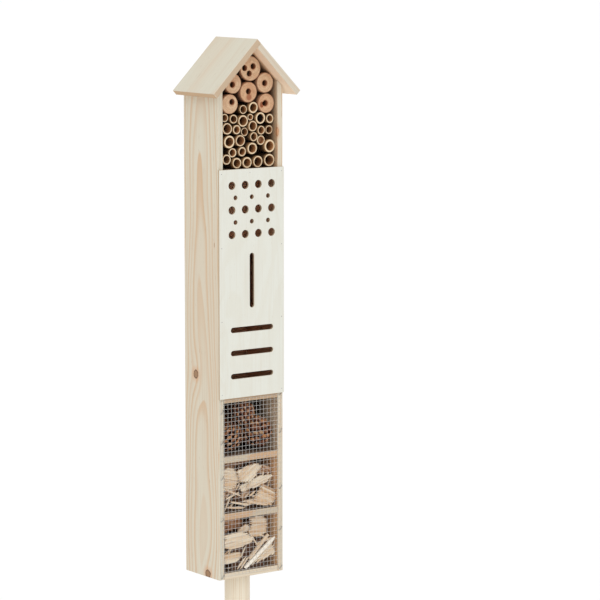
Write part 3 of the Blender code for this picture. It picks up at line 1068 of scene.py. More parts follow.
class Assembly:
    """Shared handling of finished pieces."""

    body = HOUSE

    def keep(self, node: str, finish: Material) -> None:
        """Give a CAD piece its finish.

        Args:
            node: Name of the CAD node.
            finish: The material it takes.
        """
        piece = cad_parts[node]
        for place in piece.material_slots:
            place.material = finish
        LOG.info("kept     %s", node)

    def place(self, piece: Piece, slot: str, node: Optional[str] = None) -> None:
        """Hang a new piece on its body.

        Args:
            piece: The new piece.
            slot: A material slot's name; not used.
            node: CAD node the piece stands for, if any.
        """
        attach(piece, self.body)
        if node:
            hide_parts(node)
        LOG.info("built    %s: %d faces", piece.name, len(piece.data.polygons))


# ------------------------------------------------------------------- carcass

@dataclass
class Carcass(Assembly):
    """Side boards, back, floor, shelves and the block that takes the stake."""

    shelves: tuple[str, ...] = (
        "tube_shelf", "hole_chamber_floor", "slot_chamber_floor", "cone_ceiling", "cone_floor", "chip_floor")
    blushes: dict[str, Pair] = field(default_factory=lambda: {
        "cone_floor": (-0.010, 0.002), "chip_floor": (0.012, -0.006)})
    plain_edge: Colour = tint(188, 158, 126)
    blushed_edge: Colour = tint(194, 178, 154)

    def build(self) -> None:
        """Dress every board."""
        upright, level = Fibres.UPRIGHT, Fibres.LEVEL
        boards = {
            "left_side_board": PineFinish(
                "pine_left_side", upright, (-0.018, 0.008), 3.1, edge=tint(206, 205, 190), edge_amount=0.4,
                knots=(
                    Knot(0.0216, 0.5967, 0.0060, 1.1, 0.004, 0.9),
                    Knot(-0.0071, 0.3050, 0.0066, 0.95, 0.004, 0.95),
                    Knot(-0.0265, 0.7900, 0.0009, 3.5, 0.0006, 0.6))),
            "right_side_board": PineFinish(
                "pine_right_side", upright, (0.095, -0.006), 7.4, knots=(
                    Knot(-0.0350, 0.9485, 0.0034, 2.1, 0.002, 0.8, 0.0472),
                    Knot(-0.0350, 0.9200, 0.0012, 14.0, 0.001, 0.45, 0.0474),
                    Knot(0.0262, 0.705, 0.005, 1.1, 0.004, 0.8)),
                knot_heart=tint(206, 154, 112), knot_rim=tint(172, 116, 78)),
            "back_board": PineFinish(
                "pine_back", Fibres.UPRIGHT_FACING_FRONT, (-0.11, 0.004), 12.7, knots=(
                    Knot(-0.018, 0.62, 0.0065, 1.2), Knot(0.024, 0.93, 0.005, 1.1))),
            "floor_board": PineFinish(
                "pine_floor", level, (0.335, -0.03), 5.9, edge=tint(230, 212, 186), edge_amount=0.35),
            "socket_block": PineFinish(
                "pine_block", upright, (0.04, 0.03), 9.2, early=tint(92, 62, 46), late=tint(74, 48, 36)),
        }
        for number, name in enumerate(self.shelves):
            low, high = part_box(name)
            heart = ((low.z + high.z) / 2 + 0.03, 0.01 - 0.012 * number)
            boards[name] = PineFinish(
                f"pine_{name}", level, heart, 15.0 + 2.7 * number, blush=self.blushes.get(name),
                edge=self.blushed_edge if name in self.blushes else self.plain_edge, edge_amount=0.85)
        for name, finish in boards.items():
            self.keep(name, finish.build())


@dataclass
class Roof(Assembly):
    """The two roof boards, the left one lapping the right one's end."""

    # painted bounce light on the undersides of both roof boards
    under: Colour = tint(250, 224, 196)

    def build(self) -> None:
        """Dress both boards."""
        left = PineFinish(
            "pine_roof_left", Fibres.DOWN_LEFT_SLOPE, (0.66, -0.05), 21.3, ring=0.0036, contrast=0.6,
            early=tint(211, 206, 189), edge=tint(190, 162, 132), edge_amount=0.8, end_amount=0.85,
            under=self.under, knots=(Knot(-0.0432, -0.7640, 0.0013, 1.0, 0.001, 0.9),))
        right = PineFinish(
            "pine_roof_right", Fibres.DOWN_RIGHT_SLOPE, (0.80, 0.01), 27.8, ring=0.004, contrast=0.6,
            edge=tint(204, 192, 174), edge_amount=0.5, under=self.under)
        self.keep("roof_board_left", left.build())
        self.keep("roof_board_right", right.build())


@dataclass
class FrontPanel(Assembly):
    """The thin plywood panel with its holes and slots, held by brads."""

    inset: float = 0.0042        # brads from the panel's side edges
    drop: float = 0.006          # and from its top and bottom
    rows: int = 4
    middle_brad: Pair = (-0.0032, 0.0055)    # across, and below the top edge

    def build(self, shop: "Ironmonger") -> None:
        """Dress the panel and drive its brads.

        Args:
            shop: Where fasteners come from.
        """
        low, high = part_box("front_panel")
        self.keep("front_panel", PlywoodFinish(front=low.y, thickness=high.y - low.y).build())
        places = []
        for row in range(self.rows):
            z = low.z + self.drop + (high.z - low.z - 2 * self.drop) * row / (self.rows - 1)
            places += [((x, low.y, z), 0.0) for x in (low.x + self.inset, high.x - self.inset)]
        places.append(((self.middle_brad[0], low.y, high.z - self.middle_brad[1]), 0.0))
        self.place(shop.set_brads("panel_brads", places), "galvanised_wire")


# ------------------------------------------------------------------ fasteners

Setting = tuple[Triple, float]       # place, and degrees turned in the wood's face


@dataclass
class Ironmonger:
    """Staples and brads, each copied to its places by one tree."""

    crown: float = 0.0062
    leg: float = 0.0016
    bend: Pair = (0.0005, 0.0004)    # a staple's corner, along the crown and the leg
    wire: float = 0.00042
    head: float = 0.00075
    shank: float = 0.0006
    dome: float = -0.00018
    head_rings: tuple[Pair, ...] = ((1.0, 0.0006), (1.0, -0.00002), (0.72, -0.00014))

    def set_staples(self, name: str, places: Sequence[Setting]) -> Piece:
        """Drive staples into the wood.

        Args:
            name: Name of the piece.
            places: Each staple's place and turn.

        Returns:
            All the staples as one piece.
        """
        half, (along, down) = self.crown / 2, self.bend
        path = [Vector(point) for point in (
            (-half, self.leg, 0), (-half, down, 0), (-half + along, 0, 0),
            (half - along, 0, 0), (half, down, 0), (half, self.leg, 0))]
        shape = bmesh.new()
        rings = []
        for index, point in enumerate(path):
            before, after = path[max(index - 1, 0)], path[min(index + 1, len(path) - 1)]
            side = Vector((0, 0, 1))
            over = (after - before).normalized().cross(side)
            corners = [(math.cos(a) * side + math.sin(a) * over) * self.wire
                       for a in (math.pi / 4 + math.pi / 3 * k for k in range(6))]
            rings.append(ring_of(shape, [point + corner for corner in corners]))
        loft(shape, rings, closed=True)
        steel = MetalFinish("staple_steel", tint(160, 158, 156), tint(112, 108, 104), rust=0.35).build()
        return self._copy(name, shape, steel, places)

    def set_brads(self, name: str, places: Sequence[Setting]) -> Piece:
        """Drive brads, whose small domed heads stay in view.

        Args:
            name: Name of the piece.
            places: Each brad's place and turn.

        Returns:
            All the brads as one piece.
        """
        shape = bmesh.new()
        rings = [ring_of(shape, [
            Vector((self.head * share * math.cos(a), y, self.head * share * math.sin(a))) for a in turns(10)])
            for share, y in self.head_rings]
        loft(shape, rings)
        fan(shape, rings[-1], Vector((0, self.dome, 0)))
        fan(shape, list(reversed(rings[0])), Vector((0, self.shank, 0)))
        steel = MetalFinish("brad_steel", tint(190, 190, 190), tint(140, 138, 136), rust=0.2).build()
        return self._copy(name, shape, steel, places)

    @staticmethod
    def _copy(name: str, shape: Shape, steel: Material, places: Sequence[Setting]) -> Piece:
        """Copy one fastener to every place.

        Args:
            name: Name of the piece.
            shape: The fastener, which is used up.
            steel: Its material.
            places: Each one's place and turn.

        Returns:
            All of them as one piece.
        """
        pattern = make_piece(name + "_pattern", shape, steel)
        start = bpy.data.meshes.new(name + "_places")
        start.from_pydata([place for place, _ in places], [], [])
        layer = start.attributes.new("turn", "FLOAT_VECTOR", "POINT")
        for (_, turn), item in zip(places, layer.data):
            item.vector = (0.0, math.radians(turn), 0.0)
        bench = FormBench(name + "_tree", {"Pattern": pattern, "Finish": steel})
        turn = bench.form("InputNamedAttribute", {"data_type": "FLOAT_VECTOR"}, {"Name": "turn"})
        piece = bench.make(name, [bench.copies(bench.entry.outputs[0], "Pattern", turn)], start=start)
        bpy.data.objects.remove(pattern, do_unlink=True)
        return piece


# ------------------------------------------------------------------ wire mesh

@dataclass
class WeldedMesh(Assembly):
    """Quarter-inch welded mesh over the three lower rooms, and its staples."""

    columns: int = 17
    rows: int = 41
    wire: float = 0.00020     # radius
    lap: float = 1.7          # level wires in front of the upright ones, in radii
    bead: float = 1.3         # weld, in radii
    waver: float = 0.0007
    seed: int = 5
    staples: tuple[tuple[float, tuple[float, ...]], ...] = (
        (-0.0515, (0.503, 0.451, 0.389, 0.305, 0.548)), (0.0525, (0.5655, 0.510, 0.426, 0.364, 0.306)))

    def build(self, shop: Ironmonger) -> None:
        """Weave the mesh and staple it.

        Args:
            shop: Where fasteners come from.
        """
        low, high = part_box("wire_mesh")
        bench = FormBench("welded_mesh", {
            "Columns": self.columns, "Rows": self.rows, "Cell": (high.x - low.x - 2 * self.wire) / self.columns,
            "Wire": self.wire, "Waver": self.waver, "Seed": self.seed,
            "Start": (low.x + self.wire, high.y - self.wire, low.z + self.wire),
            "Finish": MetalFinish("galvanised_skin").build()})
        cell, wire = bench.number("Cell"), bench.number("Wire")
        columns, rows = bench.number("Columns"), bench.number("Rows")
        wide, tall = columns * cell, rows * cell
        start = bench.given("Start")
        ring = bench.form("CurvePrimitiveCircle", None, {"Resolution": 6, "Radius": wire})

        def wires(count: Signal, step: Socket, end: Socket, shift: Socket) -> Socket:
            """Lay one set of straight wires side by side and bend them a little.

            Args:
                count: Cells they stand round.
                step: From one wire to the next.
                end: From the start of a wire to its end.
                shift: Where the first one starts.

            Returns:
                The wires.
            """
            row = bench.form("MeshLine", {"mode": "OFFSET"}, {"Count": count + 1, "Offset": step})
            line = bench.form("CurvePrimitiveLine", None, {"End": end})
            fine = bench.form("ResampleCurve", {"mode": "LENGTH"}, {"Curve": line, "Length": cell / 2})
            laid = bench.form("InstanceOnPoints", None, {"Points": row, "Instance": fine})
            real = bench.form("RealizeInstances", None, {0: laid})
            moved = bench.form("Transform", None, {"Geometry": real, "Translation": shift})
            return bench.form("CurveToMesh", None, {
                "Curve": self._waver(bench, moved), "Profile Curve": ring, "Fill Caps": True})

        upright = wires(columns, bench.vector(cell, 0.0, 0.0), bench.vector(0.0, 0.0, tall), start)
        front = bench.vector_math("ADD", start, bench.vector(0.0, wire * -self.lap, 0.0))
        level = wires(rows, bench.vector(0.0, 0.0, cell), bench.vector(wide, 0.0, 0.0), front)
        grid = bench.form("MeshGrid", None, {
            "Size X": wide, "Size Y": tall, "Vertices X": columns + 1, "Vertices Y": rows + 1})
        centre = bench.vector_math("ADD", start, bench.vector(wide / 2, wire * -0.9, tall / 2))
        stood = bench.form("Transform", None, {
            "Geometry": grid, "Rotation": (math.pi / 2, 0.0, 0.0), "Translation": centre})
        bead = bench.form("MeshIcoSphere", None, {"Radius": wire * self.bead, "Subdivisions": 1})
        welds = bench.form("InstanceOnPoints", None, {"Points": self._waver(bench, stood), "Instance": bead})
        self.place(bench.make("welded_mesh", [upright, level, welds], True), "galvanised_wire", "wire_mesh")

        rng = random.Random(11)
        places = [((x, low.y - 0.0001, z), rng.uniform(-62, -38)) for x, rises in self.staples for z in rises]
        self.place(shop.set_staples("mesh_staples", places), "galvanised_wire")

    @staticmethod
    def _waver(bench: FormBench, geometry: Socket) -> Socket:
        """Move points by a slow noise that is the same through the mesh's depth.

        Args:
            bench: The mesh's bench.
            geometry: What is moved.

        Returns:
            The moved geometry.
        """
        flat = bench.vector_math("MULTIPLY", bench.form("InputPosition"), (1.0, 0.0, 1.0))
        wave = bench.socket("ShaderNodeTexNoise", {"noise_dimensions": "4D"}, {
            "Vector": flat, "W": bench.number("Seed"), "Scale": 55.0, "Detail": 1.0}, "Color")
        centred = bench.vector_math("SUBTRACT", wave, (0.5, 0.5, 0.5))
        amount = bench.number("Waver")
        offset = bench.vector_math("MULTIPLY", centred, bench.vector(amount, 0.0, amount))
        return bench.form("SetPosition", None, {"Geometry": geometry, "Offset": offset})


# ---------------------------------------------------------------------- stake

@dataclass
class Stake(Assembly):
    """Turned round stake with a slanting cut that leaves a blunt point."""

    body = STAKE
    sides: int = 96
    spans: int = 14
    ease: float = 0.0012         # rounding of the top edge
    cut_height: float = 0.132
    point: float = 0.006
    waver: float = 0.00012
    waves: tuple[Triple, ...] = ((2, 0.4, 0.3), (3, 0.35, 1.9), (5, 0.25, 4.0))

    def build(self) -> None:
        """Turn the stake, cut its point and ease its top edge."""
        low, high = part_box("stake")
        radius = (high.x - low.x) / 2
        shape = bmesh.new()
        rings = []
        eased = high.z - self.ease
        levels = [high.z, eased] + [eased - (high.z - low.z) * k / self.spans for k in range(1, self.spans)]
        for z in levels + [low.z]:
            inset = self.ease if z == high.z else 0.0
            points = []
            for a in turns(self.sides):
                reach = radius - inset - self.waver * (1 + uneven(a + 0.7 * z, self.waves))
                points.append(Vector((reach * math.cos(a), reach * math.sin(a), z)))
            rings.append(ring_of(shape, points))
        loft(shape, rings)
        fan(shape, rings[0], Vector((0, 0, high.z)))
        shape.faces.new(rings[-1])
        slant = Vector((0, -self.cut_height, self.point - 2 * radius)).normalized()
        bmesh.ops.bisect_plane(
            shape, geom=shape.verts[:] + shape.edges[:] + shape.faces[:],
            plane_co=(0, radius - self.point, low.z), plane_no=slant, clear_outer=True)
        bmesh.ops.holes_fill(shape, edges=[edge for edge in shape.edges if edge.is_boundary])
        finish = PineFinish(
            "pine_stake", Fibres.UPRIGHT_FACING_FRONT, (0.020, 0.004), 33.0, ring=0.0028, drift=0.01,
            contrast=0.6, early=tint(233, 224, 204), late=tint(214, 186, 150), end=tint(222, 200, 168),
            end_amount=0.4, rooms=None, knots=(
                Knot(0.001, low.z + 0.055, 0.0035, 3.2, 0.004, 0.85),
                Knot(-0.004, low.z + 0.098, 0.0011, 1.0, 0.001),
                Knot(0.006, 0.13, 0.0022, 1.2, 0.003, 0.7)))
        self.place(make_piece("round_stake", shape, finish.build(), 30.0), "pine", "stake")


# ------------------------------------------------------------------- top room

@dataclass(frozen=True)
class LogPlan:
    """One branch log: its node, drilled holes and heart, off its centre in mm."""

    node: str
    holes: tuple[Pair, ...]
    heart: Pair
    seed: int
    tone: float = 0.0        # how much darker and redder it has weathered
    dent: Optional[Pair] = None      # chip-out beside the hole


@dataclass
class LogStack(Assembly):
    """Six drilled branch logs under the gable."""

    plans: tuple[LogPlan, ...] = (
        LogPlan("log_top", ((-10, 1), (5, 3), (-2, -7)), (4.2, 2.4), 1),
        LogPlan("log_left_upper", ((-1, -1.5),), (-0.5, -1), 2),
        LogPlan("log_centre", ((0, 1),), (0.8, -7.4), 3, 0.45),
        LogPlan("log_right_upper", ((-0.5, -0.5),), (-0.8, -0.6), 4),
        LogPlan("log_left_lower", ((4, 3),), (3.2, 2.4), 5),
        LogPlan("log_right_lower", ((-1.5, 0),), (-1.0, 0.4), 6, 0.40, (-7.4, -1.8)),
    )
    hole: float = 0.0086
    hole_depth: float = 0.052
    run_out: float = 0.004       # how far the bits reach in front of the log
    dent_size: float = 0.0034
    sides: int = 56
    bit_sides: int = 28
    shares: tuple[float, ...] = (0.16, 0.34, 0.52, 0.70, 0.84, 0.93, 0.975)

    def build(self) -> None:
        """Turn, drill and finish every log."""
        finish = BranchFinish().build()
        for plan in self.plans:
            self._log(plan, finish)

    def _log(self, plan: LogPlan, finish: Material) -> None:
        """Make one log.

        Args:
            plan: What sets it apart.
            finish: Its material.
        """
        low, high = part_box(plan.node)
        middle = (low + high) / 2
        radius = (high.x - low.x) / 2
        waves = waves_of(random.Random(plan.seed), 0.2, 0.5, (2, 3, 5, 8))

        def reach(angle: float) -> float:
            """Outline radius, never past the log's solid."""
            return radius * (1 - 0.016 * (1 + uneven(angle, waves) / 2))

        def off_centre(place: Pair) -> Vector:
            """Place across and up of a point given in mm off the centre."""
            return Vector((middle.x + place[0] * MM, middle.z + place[1] * MM))

        shape = bmesh.new()
        profile = [(share, low.y) for share in self.shares]
        profile += [(1.0, y) for y in (low.y + 0.0005, low.y + 0.02, high.y)]
        rings = [ring_of(shape, [
            Vector((middle.x + share * reach(a) * math.cos(a), y, middle.z + share * reach(a) * math.sin(a)))
            for a in turns(self.sides)]) for share, y in profile]
        loft(shape, rings)
        fan(shape, rings[0], Vector((middle.x, low.y, middle.z)))
        fan(shape, rings[-1], Vector((middle.x, high.y, middle.z)))
        body = make_piece(plan.node + "_sawn", shape, finish, 40.0)
        holes = [off_centre(hole) for hole in plan.holes]
        dent = off_centre(plan.dent) if plan.dent else None
        self._drill_out(body, self._drills(plan, holes, dent, low.y))
        heart = off_centre(plan.heart)

        def share_of(point: Vector) -> float:
            """How far out a point lies in the log."""
            flat = Vector((point.x - middle.x, point.z - middle.z))
            return flat.length / reach(math.atan2(flat.y, flat.x))

        def wall_of(point: Vector) -> float:
            """1 on a drilled wall past its mouth, a little more in the chip-out."""
            flat = Vector((point.x, point.z))
            if min((flat - hole).length for hole in holes) < self.hole * 0.56 and point.y > low.y + 0.0004:
                return 1.0
            chipped = dent is not None and (flat - dent).length < self.dent_size * 1.4
            return 1.2 if chipped and point.y > low.y + 0.0001 else 0.0

        write(body.data, GRAIN, lambda p: Vector((p.x - heart.x, p.z - heart.y, p.y + plan.seed * 0.7)))
        write(body.data, SHARE, share_of)
        write(body.data, WALL, wall_of)
        write(body.data, TONE, lambda _: plan.tone)
        self.place(body, "branch_wood", plan.node)

    def _drills(self, plan: LogPlan, holes: list[Vector], dent: Optional[Vector],
                front: float) -> Piece:
        """Make the bits that cut the holes, each with a worn mouth and a cone tip.

        Args:
            plan: The log they are for.
            holes: The holes' places across and up.
            dent: Place of the chip-out, if the log has one.
            front: Where its front face is.

        Returns:
            The bits as one piece.
        """
        shape = bmesh.new()
        rng = random.Random(plan.seed + 40)
        outer, inner = front - self.run_out, front + self.hole_depth
        for hole in holes:
            centre = Vector((hole.x, 0, hole.y))
            rings = []
            for size, y in ((1.10, outer), (1.06, front), (1.0, front + 0.0006), (1.0, inner)):
                reaches = [(a, self.hole / 2 * size * (1 + rng.uniform(-0.02, 0.02) * (size > 1)))
                           for a in turns(self.bit_sides)]
                rings.append(ring_of(shape, [
                    centre + Vector((reach * math.cos(a), y, reach * math.sin(a))) for a, reach in reaches]))
            loft(shape, rings)
            fan(shape, rings[0], centre + Vector((0, outer, 0)))
            fan(shape, rings[-1], centre + Vector((0, inner + 0.002, 0)))
        if dent is not None:
            place = Matrix.Translation((dent.x, front, dent.y)) @ Matrix.Diagonal((1.0, 0.6, 1.3, 1))
            bmesh.ops.create_icosphere(shape, subdivisions=3, radius=self.dent_size, matrix=place)
        return make_piece(plan.node + "_bits", shape)

    @staticmethod
    def _drill_out(body: Piece, bits: Piece) -> None:
        """Cut the holes and keep the result as a plain mesh.

        Args:
            body: The log.
            bits: The bits, which are used up.
        """
        cut = body.modifiers.new("drill", "BOOLEAN")
        cut.operation, cut.solver, cut.object, cut.use_self = "DIFFERENCE", "EXACT", bits, True
        mesh = settled_mesh(body)
        body.modifiers.clear()
        old, body.data = body.data, mesh
        bpy.data.meshes.remove(old)
        bpy.data.objects.remove(bits, do_unlink=True)
        mesh.set_sharp_from_angle(angle=math.radians(40))


@dataclass
class BambooBundle(Assembly):
    """Bamboo lengths packed under the logs, mouths open to the front."""

    count: int = 27
    sides: int = 30
    wall: float = 0.125
    node_thick: float = 0.003
    plugged: tuple[tuple[int, float], ...] = (       # lengths whose node is near the mouth
        (17, 0.0045), (24, 0.019), (3, 0.024), (19, 0.028))
    # tubes whose lining turns near black past halfway in, and the wall value that marks it
    dark_lined: tuple[int, ...] = (7,)
    dark_lining: float = 2.0

    def build(self) -> None:
        """Cut every length."""
        finish = BambooFinish().build()
        for number in range(1, self.count + 1):
            self._tube(number, finish)

    def _tube(self, number: int, finish: Material) -> None:
        """Make one length: uneven wall, eased mouth, closed by its node behind.

        Args:
            number: Its number in the bundle.
            finish: Its material.
        """
        node = f"bamboo_tube_{number:02d}"
        low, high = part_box(node)
        middle = (low + high) / 2
        radius = (high.x - low.x) / 2
        rng = random.Random(100 + number)
        outer_waves = waves_of(rng, 0.2, 0.6, (1, 2, 3))
        inner_waves = waves_of(rng, 0.2, 0.6, (1, 2, 4))
        wall = 2 * self.wall * rng.uniform(0.95, 1.3)
        slope = rng.uniform(0, 0.0005), rng.uniform(0, 6.28)
        plug = dict(self.plugged).get(number, high.y - self.node_thick - low.y)

        def ring(y: float, inner: float, tilt: bool) -> list[Vector]:
            """One ring.

            Args:
                y: Its depth.
                inner: Its share of the way from the outer to the inner wall.
                tilt: Whether it follows the slanting saw cut.

            Returns:
                Its points.
            """
            points = []
            for a in turns(self.sides):
                outer = radius * (1 - 0.012 * (1 + uneven(a, outer_waves)))
                inside = radius * (1 - wall - 0.03 * uneven(a, inner_waves))
                reach = outer * (1 - inner) + inside * inner
                drop = slope[0] * (1 + math.sin(a + slope[1])) if tilt else 0.0
                points.append(Vector((
                    middle.x + reach * math.cos(a), y + drop, middle.z + reach * math.sin(a))))
            return points

        profile = (
            (high.y, 0.0, False, 0.0), (low.y + 0.008, 0.0, False, 0.0), (low.y + 0.0006, 0.0, True, 0.0),
            (low.y, 0.10, True, 0.0), (low.y, 0.5, True, 0.0), (low.y, 0.9, True, 0.0),
            (low.y + 0.0005, 1.0, True, 0.45), (low.y + 0.004, 1.02, False, 0.6),
            (low.y + min(0.018, plug * 0.9), 1.04, False, 0.8), (low.y + plug, 1.04, False, 1.0))
        shape = bmesh.new()
        share_layer = shape.verts.layers.float.new(SHARE)
        wall_layer = shape.verts.layers.float.new(WALL)
        dark_lined = number in self.dark_lined
        rings = [ring_of(shape, ring(y, inner, tilt), {
            share_layer: max(0.0, 1 - inner), wall_layer: self.dark_lining if dark_lined and deep > 0.5 else deep})
            for y, inner, tilt, deep in profile]
        loft(shape, rings)
        back = {wall_layer: self.dark_lining if dark_lined else 1.0}
        fan(shape, rings[-1], Vector((middle.x, low.y + plug - 0.001, middle.z)), back)
        fan(shape, rings[0], Vector((middle.x, high.y, middle.z)), {share_layer: 0.5})
        tube = make_piece(f"bamboo_{number:02d}", shape, finish, 50.0)
        write(tube.data, GRAIN, lambda p: Vector((p.x - middle.x, p.z - middle.z, p.y + number * 0.37)))
        shade = rng.uniform(0.0, 1.0)
        write(tube.data, TONE, lambda _: shade)
        self.place(tube, "bamboo", node)


# ------------------------------------------------------------------ cone room

@dataclass(frozen=True)
class ConePlan:
    """One pine cone: place in mm, length and width in mm, lean in degrees."""

    name: str
    place: Triple
    length: float
    width: float
    lean: Pair
    scales: int
    node: Optional[str] = None


@dataclass
class ConeRoom(Assembly):
    """Pine cones heaped in the room behind the top of the mesh."""

    floor: float = 0.300
    plans: tuple[ConePlan, ...] = (
        ConePlan("cone_left", (-26, -13, 206), 46, 37, (8, -24), 128, "pine_cone_left"),
        ConePlan("cone_right", (23, -13, 207), 50, 40, (-6, 22), 140, "pine_cone_right"),
        ConePlan("cone_top", (-3, -14, 240), 46, 30, (0, 82), 118, "pine_cone_top"),
        ConePlan("cone_rear", (-8, 22, 211), 54, 36, (4, 8), 120, "pine_cone_rear"),
        ConePlan("cone_rear_left", (-31, 21, 204), 44, 30, (-8, -6), 96),
        ConePlan("cone_rear_right", (28, 22, 208), 50, 34, (6, -4), 104),
        ConePlan("cone_rear_top", (12, 20, 243), 44, 28, (0, -84), 96),
    )
    golden_angle: float = 137.508
    open: float = 0.9
    sections: tuple[tuple[float, ...], ...] = (      # a scale's place out, half width, thickness and rise
        (0.00, 0.10, 0.05, 0.00), (0.35, 0.20, 0.05, -0.02), (0.70, 0.29, 0.06, 0.02),
        (0.88, 0.32, 0.09, 0.08), (0.97, 0.25, 0.11, 0.14), (1.02, 0.12, 0.07, 0.19))
    outline: tuple[Pair, ...] = (
        (1.0, 0.0), (0.72, 0.75), (0.0, 1.15), (-0.72, 0.75),
        (-1.0, 0.0), (-0.7, -0.7), (0.0, -0.9), (0.7, -0.7))
    tip: Triple = (1.06, 0, 0.20)
    grain: float = 0.015

    def build(self) -> None:
        """Grow every cone from one pattern scale."""
        finish = ConeFinish().build()
        pattern = self._scale(finish)
        for number, plan in enumerate(self.plans):
            self._cone(plan, number, pattern, finish)
        bpy.data.objects.remove(pattern, do_unlink=True)

    def _scale(self, finish: Material) -> Piece:
        """Make one woody scale, a metre long along X, with its thick ridged tip.

        Args:
            finish: Its material.

        Returns:
            The pattern scale.
        """
        shape = bmesh.new()
        share = shape.verts.layers.float.new(SHARE)
        grain = shape.verts.layers.float_vector.new(GRAIN)
        rings = [
            ring_of(shape, [Vector((out, half * y, rise + thick * z)) for y, z in self.outline], {share: out})
            for out, half, thick, rise in self.sections]
        loft(shape, rings)
        shape.faces.new(rings[0])
        fan(shape, rings[-1], Vector(self.tip), {share: 1.0})
        for vertex in shape.verts:
            vertex[grain] = vertex.co * self.grain
        return make_piece("scale_pattern", shape, finish)

    def _cone(self, plan: ConePlan, number: int, pattern: Piece, finish: Material) -> None:
        """Set scales round a core by the golden angle.

        Args:
            plan: What sets this cone apart.
            number: Its number, which seeds its chance values.
            pattern: The scale to copy.
            finish: The material.
        """
        place = (plan.place[0] * MM, plan.place[1] * MM, self.floor + plan.place[2] * MM)
        lean = (math.radians(plan.lean[0]), math.radians(plan.lean[1]), 0.0)
        bench = FormBench(plan.name + "_tree", {
            "Scale": pattern, "Scales": plan.scales, "Length": plan.length * MM, "Width": plan.width * MM,
            "Open": self.open, "Place": place, "Lean": lean, "Seed": 10 + number, "Finish": finish})
        length, width, count = bench.number("Length"), bench.number("Width"), bench.number("Scales")
        seed = bench.number("Seed")
        index = bench.signal("GeometryNodeInputIndex")
        share = (index + 0.5) / count
        turn = index * math.radians(self.golden_angle)
        along = (share ** 0.78) * math.pi
        swell = along.math("SINE", along).most(0.02) ** 0.7
        core = swell * width * 0.10
        spot = bench.vector(core * turn.math("COSINE", turn), core * turn.math("SINE", turn),
                            (share - 0.5) * length * 0.80)
        line = bench.form("MeshLine", {"mode": "OFFSET"}, {"Count": count, "Offset": (0.0, 0.0, 0.0)})
        points = bench.form("SetPosition", None, {"Geometry": line, "Position": spot})
        jitter = bench.chance(-1.0, 1.0, seed)
        rise = (share * 1.45 - 0.30) * bench.number("Open") + jitter * 0.07
        facing = bench.vector(jitter * 0.14, rise * -1.0, turn + jitter * 0.08)
        size = (swell * 0.50 + 0.03) * width * (jitter * 0.06 + 1.0)
        scales = bench.copies(points, "Scale", facing, bench.vector(size, size * (0.86 - share * 0.16), size),
                              bench.chance(0.0, 1.0, seed + 31))
        stem = bench.form("MeshUVSphere", None, {"Segments": 12, "Rings": 8, "Radius": 0.5}, "Mesh")
        shaped = bench.form("Transform", None, {
            "Geometry": stem, "Scale": bench.vector(width * 0.30, width * 0.30, length * 0.86)})
        whole = bench.form("JoinGeometry", None, {0: [scales, shaped]})
        stood = bench.form("Transform", None, {
            "Geometry": whole, "Translation": bench.given("Place"), "Rotation": bench.given("Lean")})
        cone = bench.make(plan.name, [stood])
        cone.data.shade_smooth()
        cone.data.set_sharp_from_angle(angle=math.radians(42))
        self.place(cone, "cone_scales", plan.node)


# ------------------------------------------------------------------ chip boxes

@dataclass(frozen=True)
class ChipPlan:
    """One chip: corners across and up in mm, fibre direction in degrees, lean."""

    name: str
    fibres: float
    lean: Pair
    corners: tuple[Pair, ...]
    tone: float = 0.3
    back: float = 0.0        # metres behind the front layer
    node: Optional[str] = None


@dataclass(frozen=True)
class StickPlan:
    """One splinter: its ends across and up in metres, its width and how far back it lies."""

    start: Pair
    end: Pair
    wide: float
    back: float


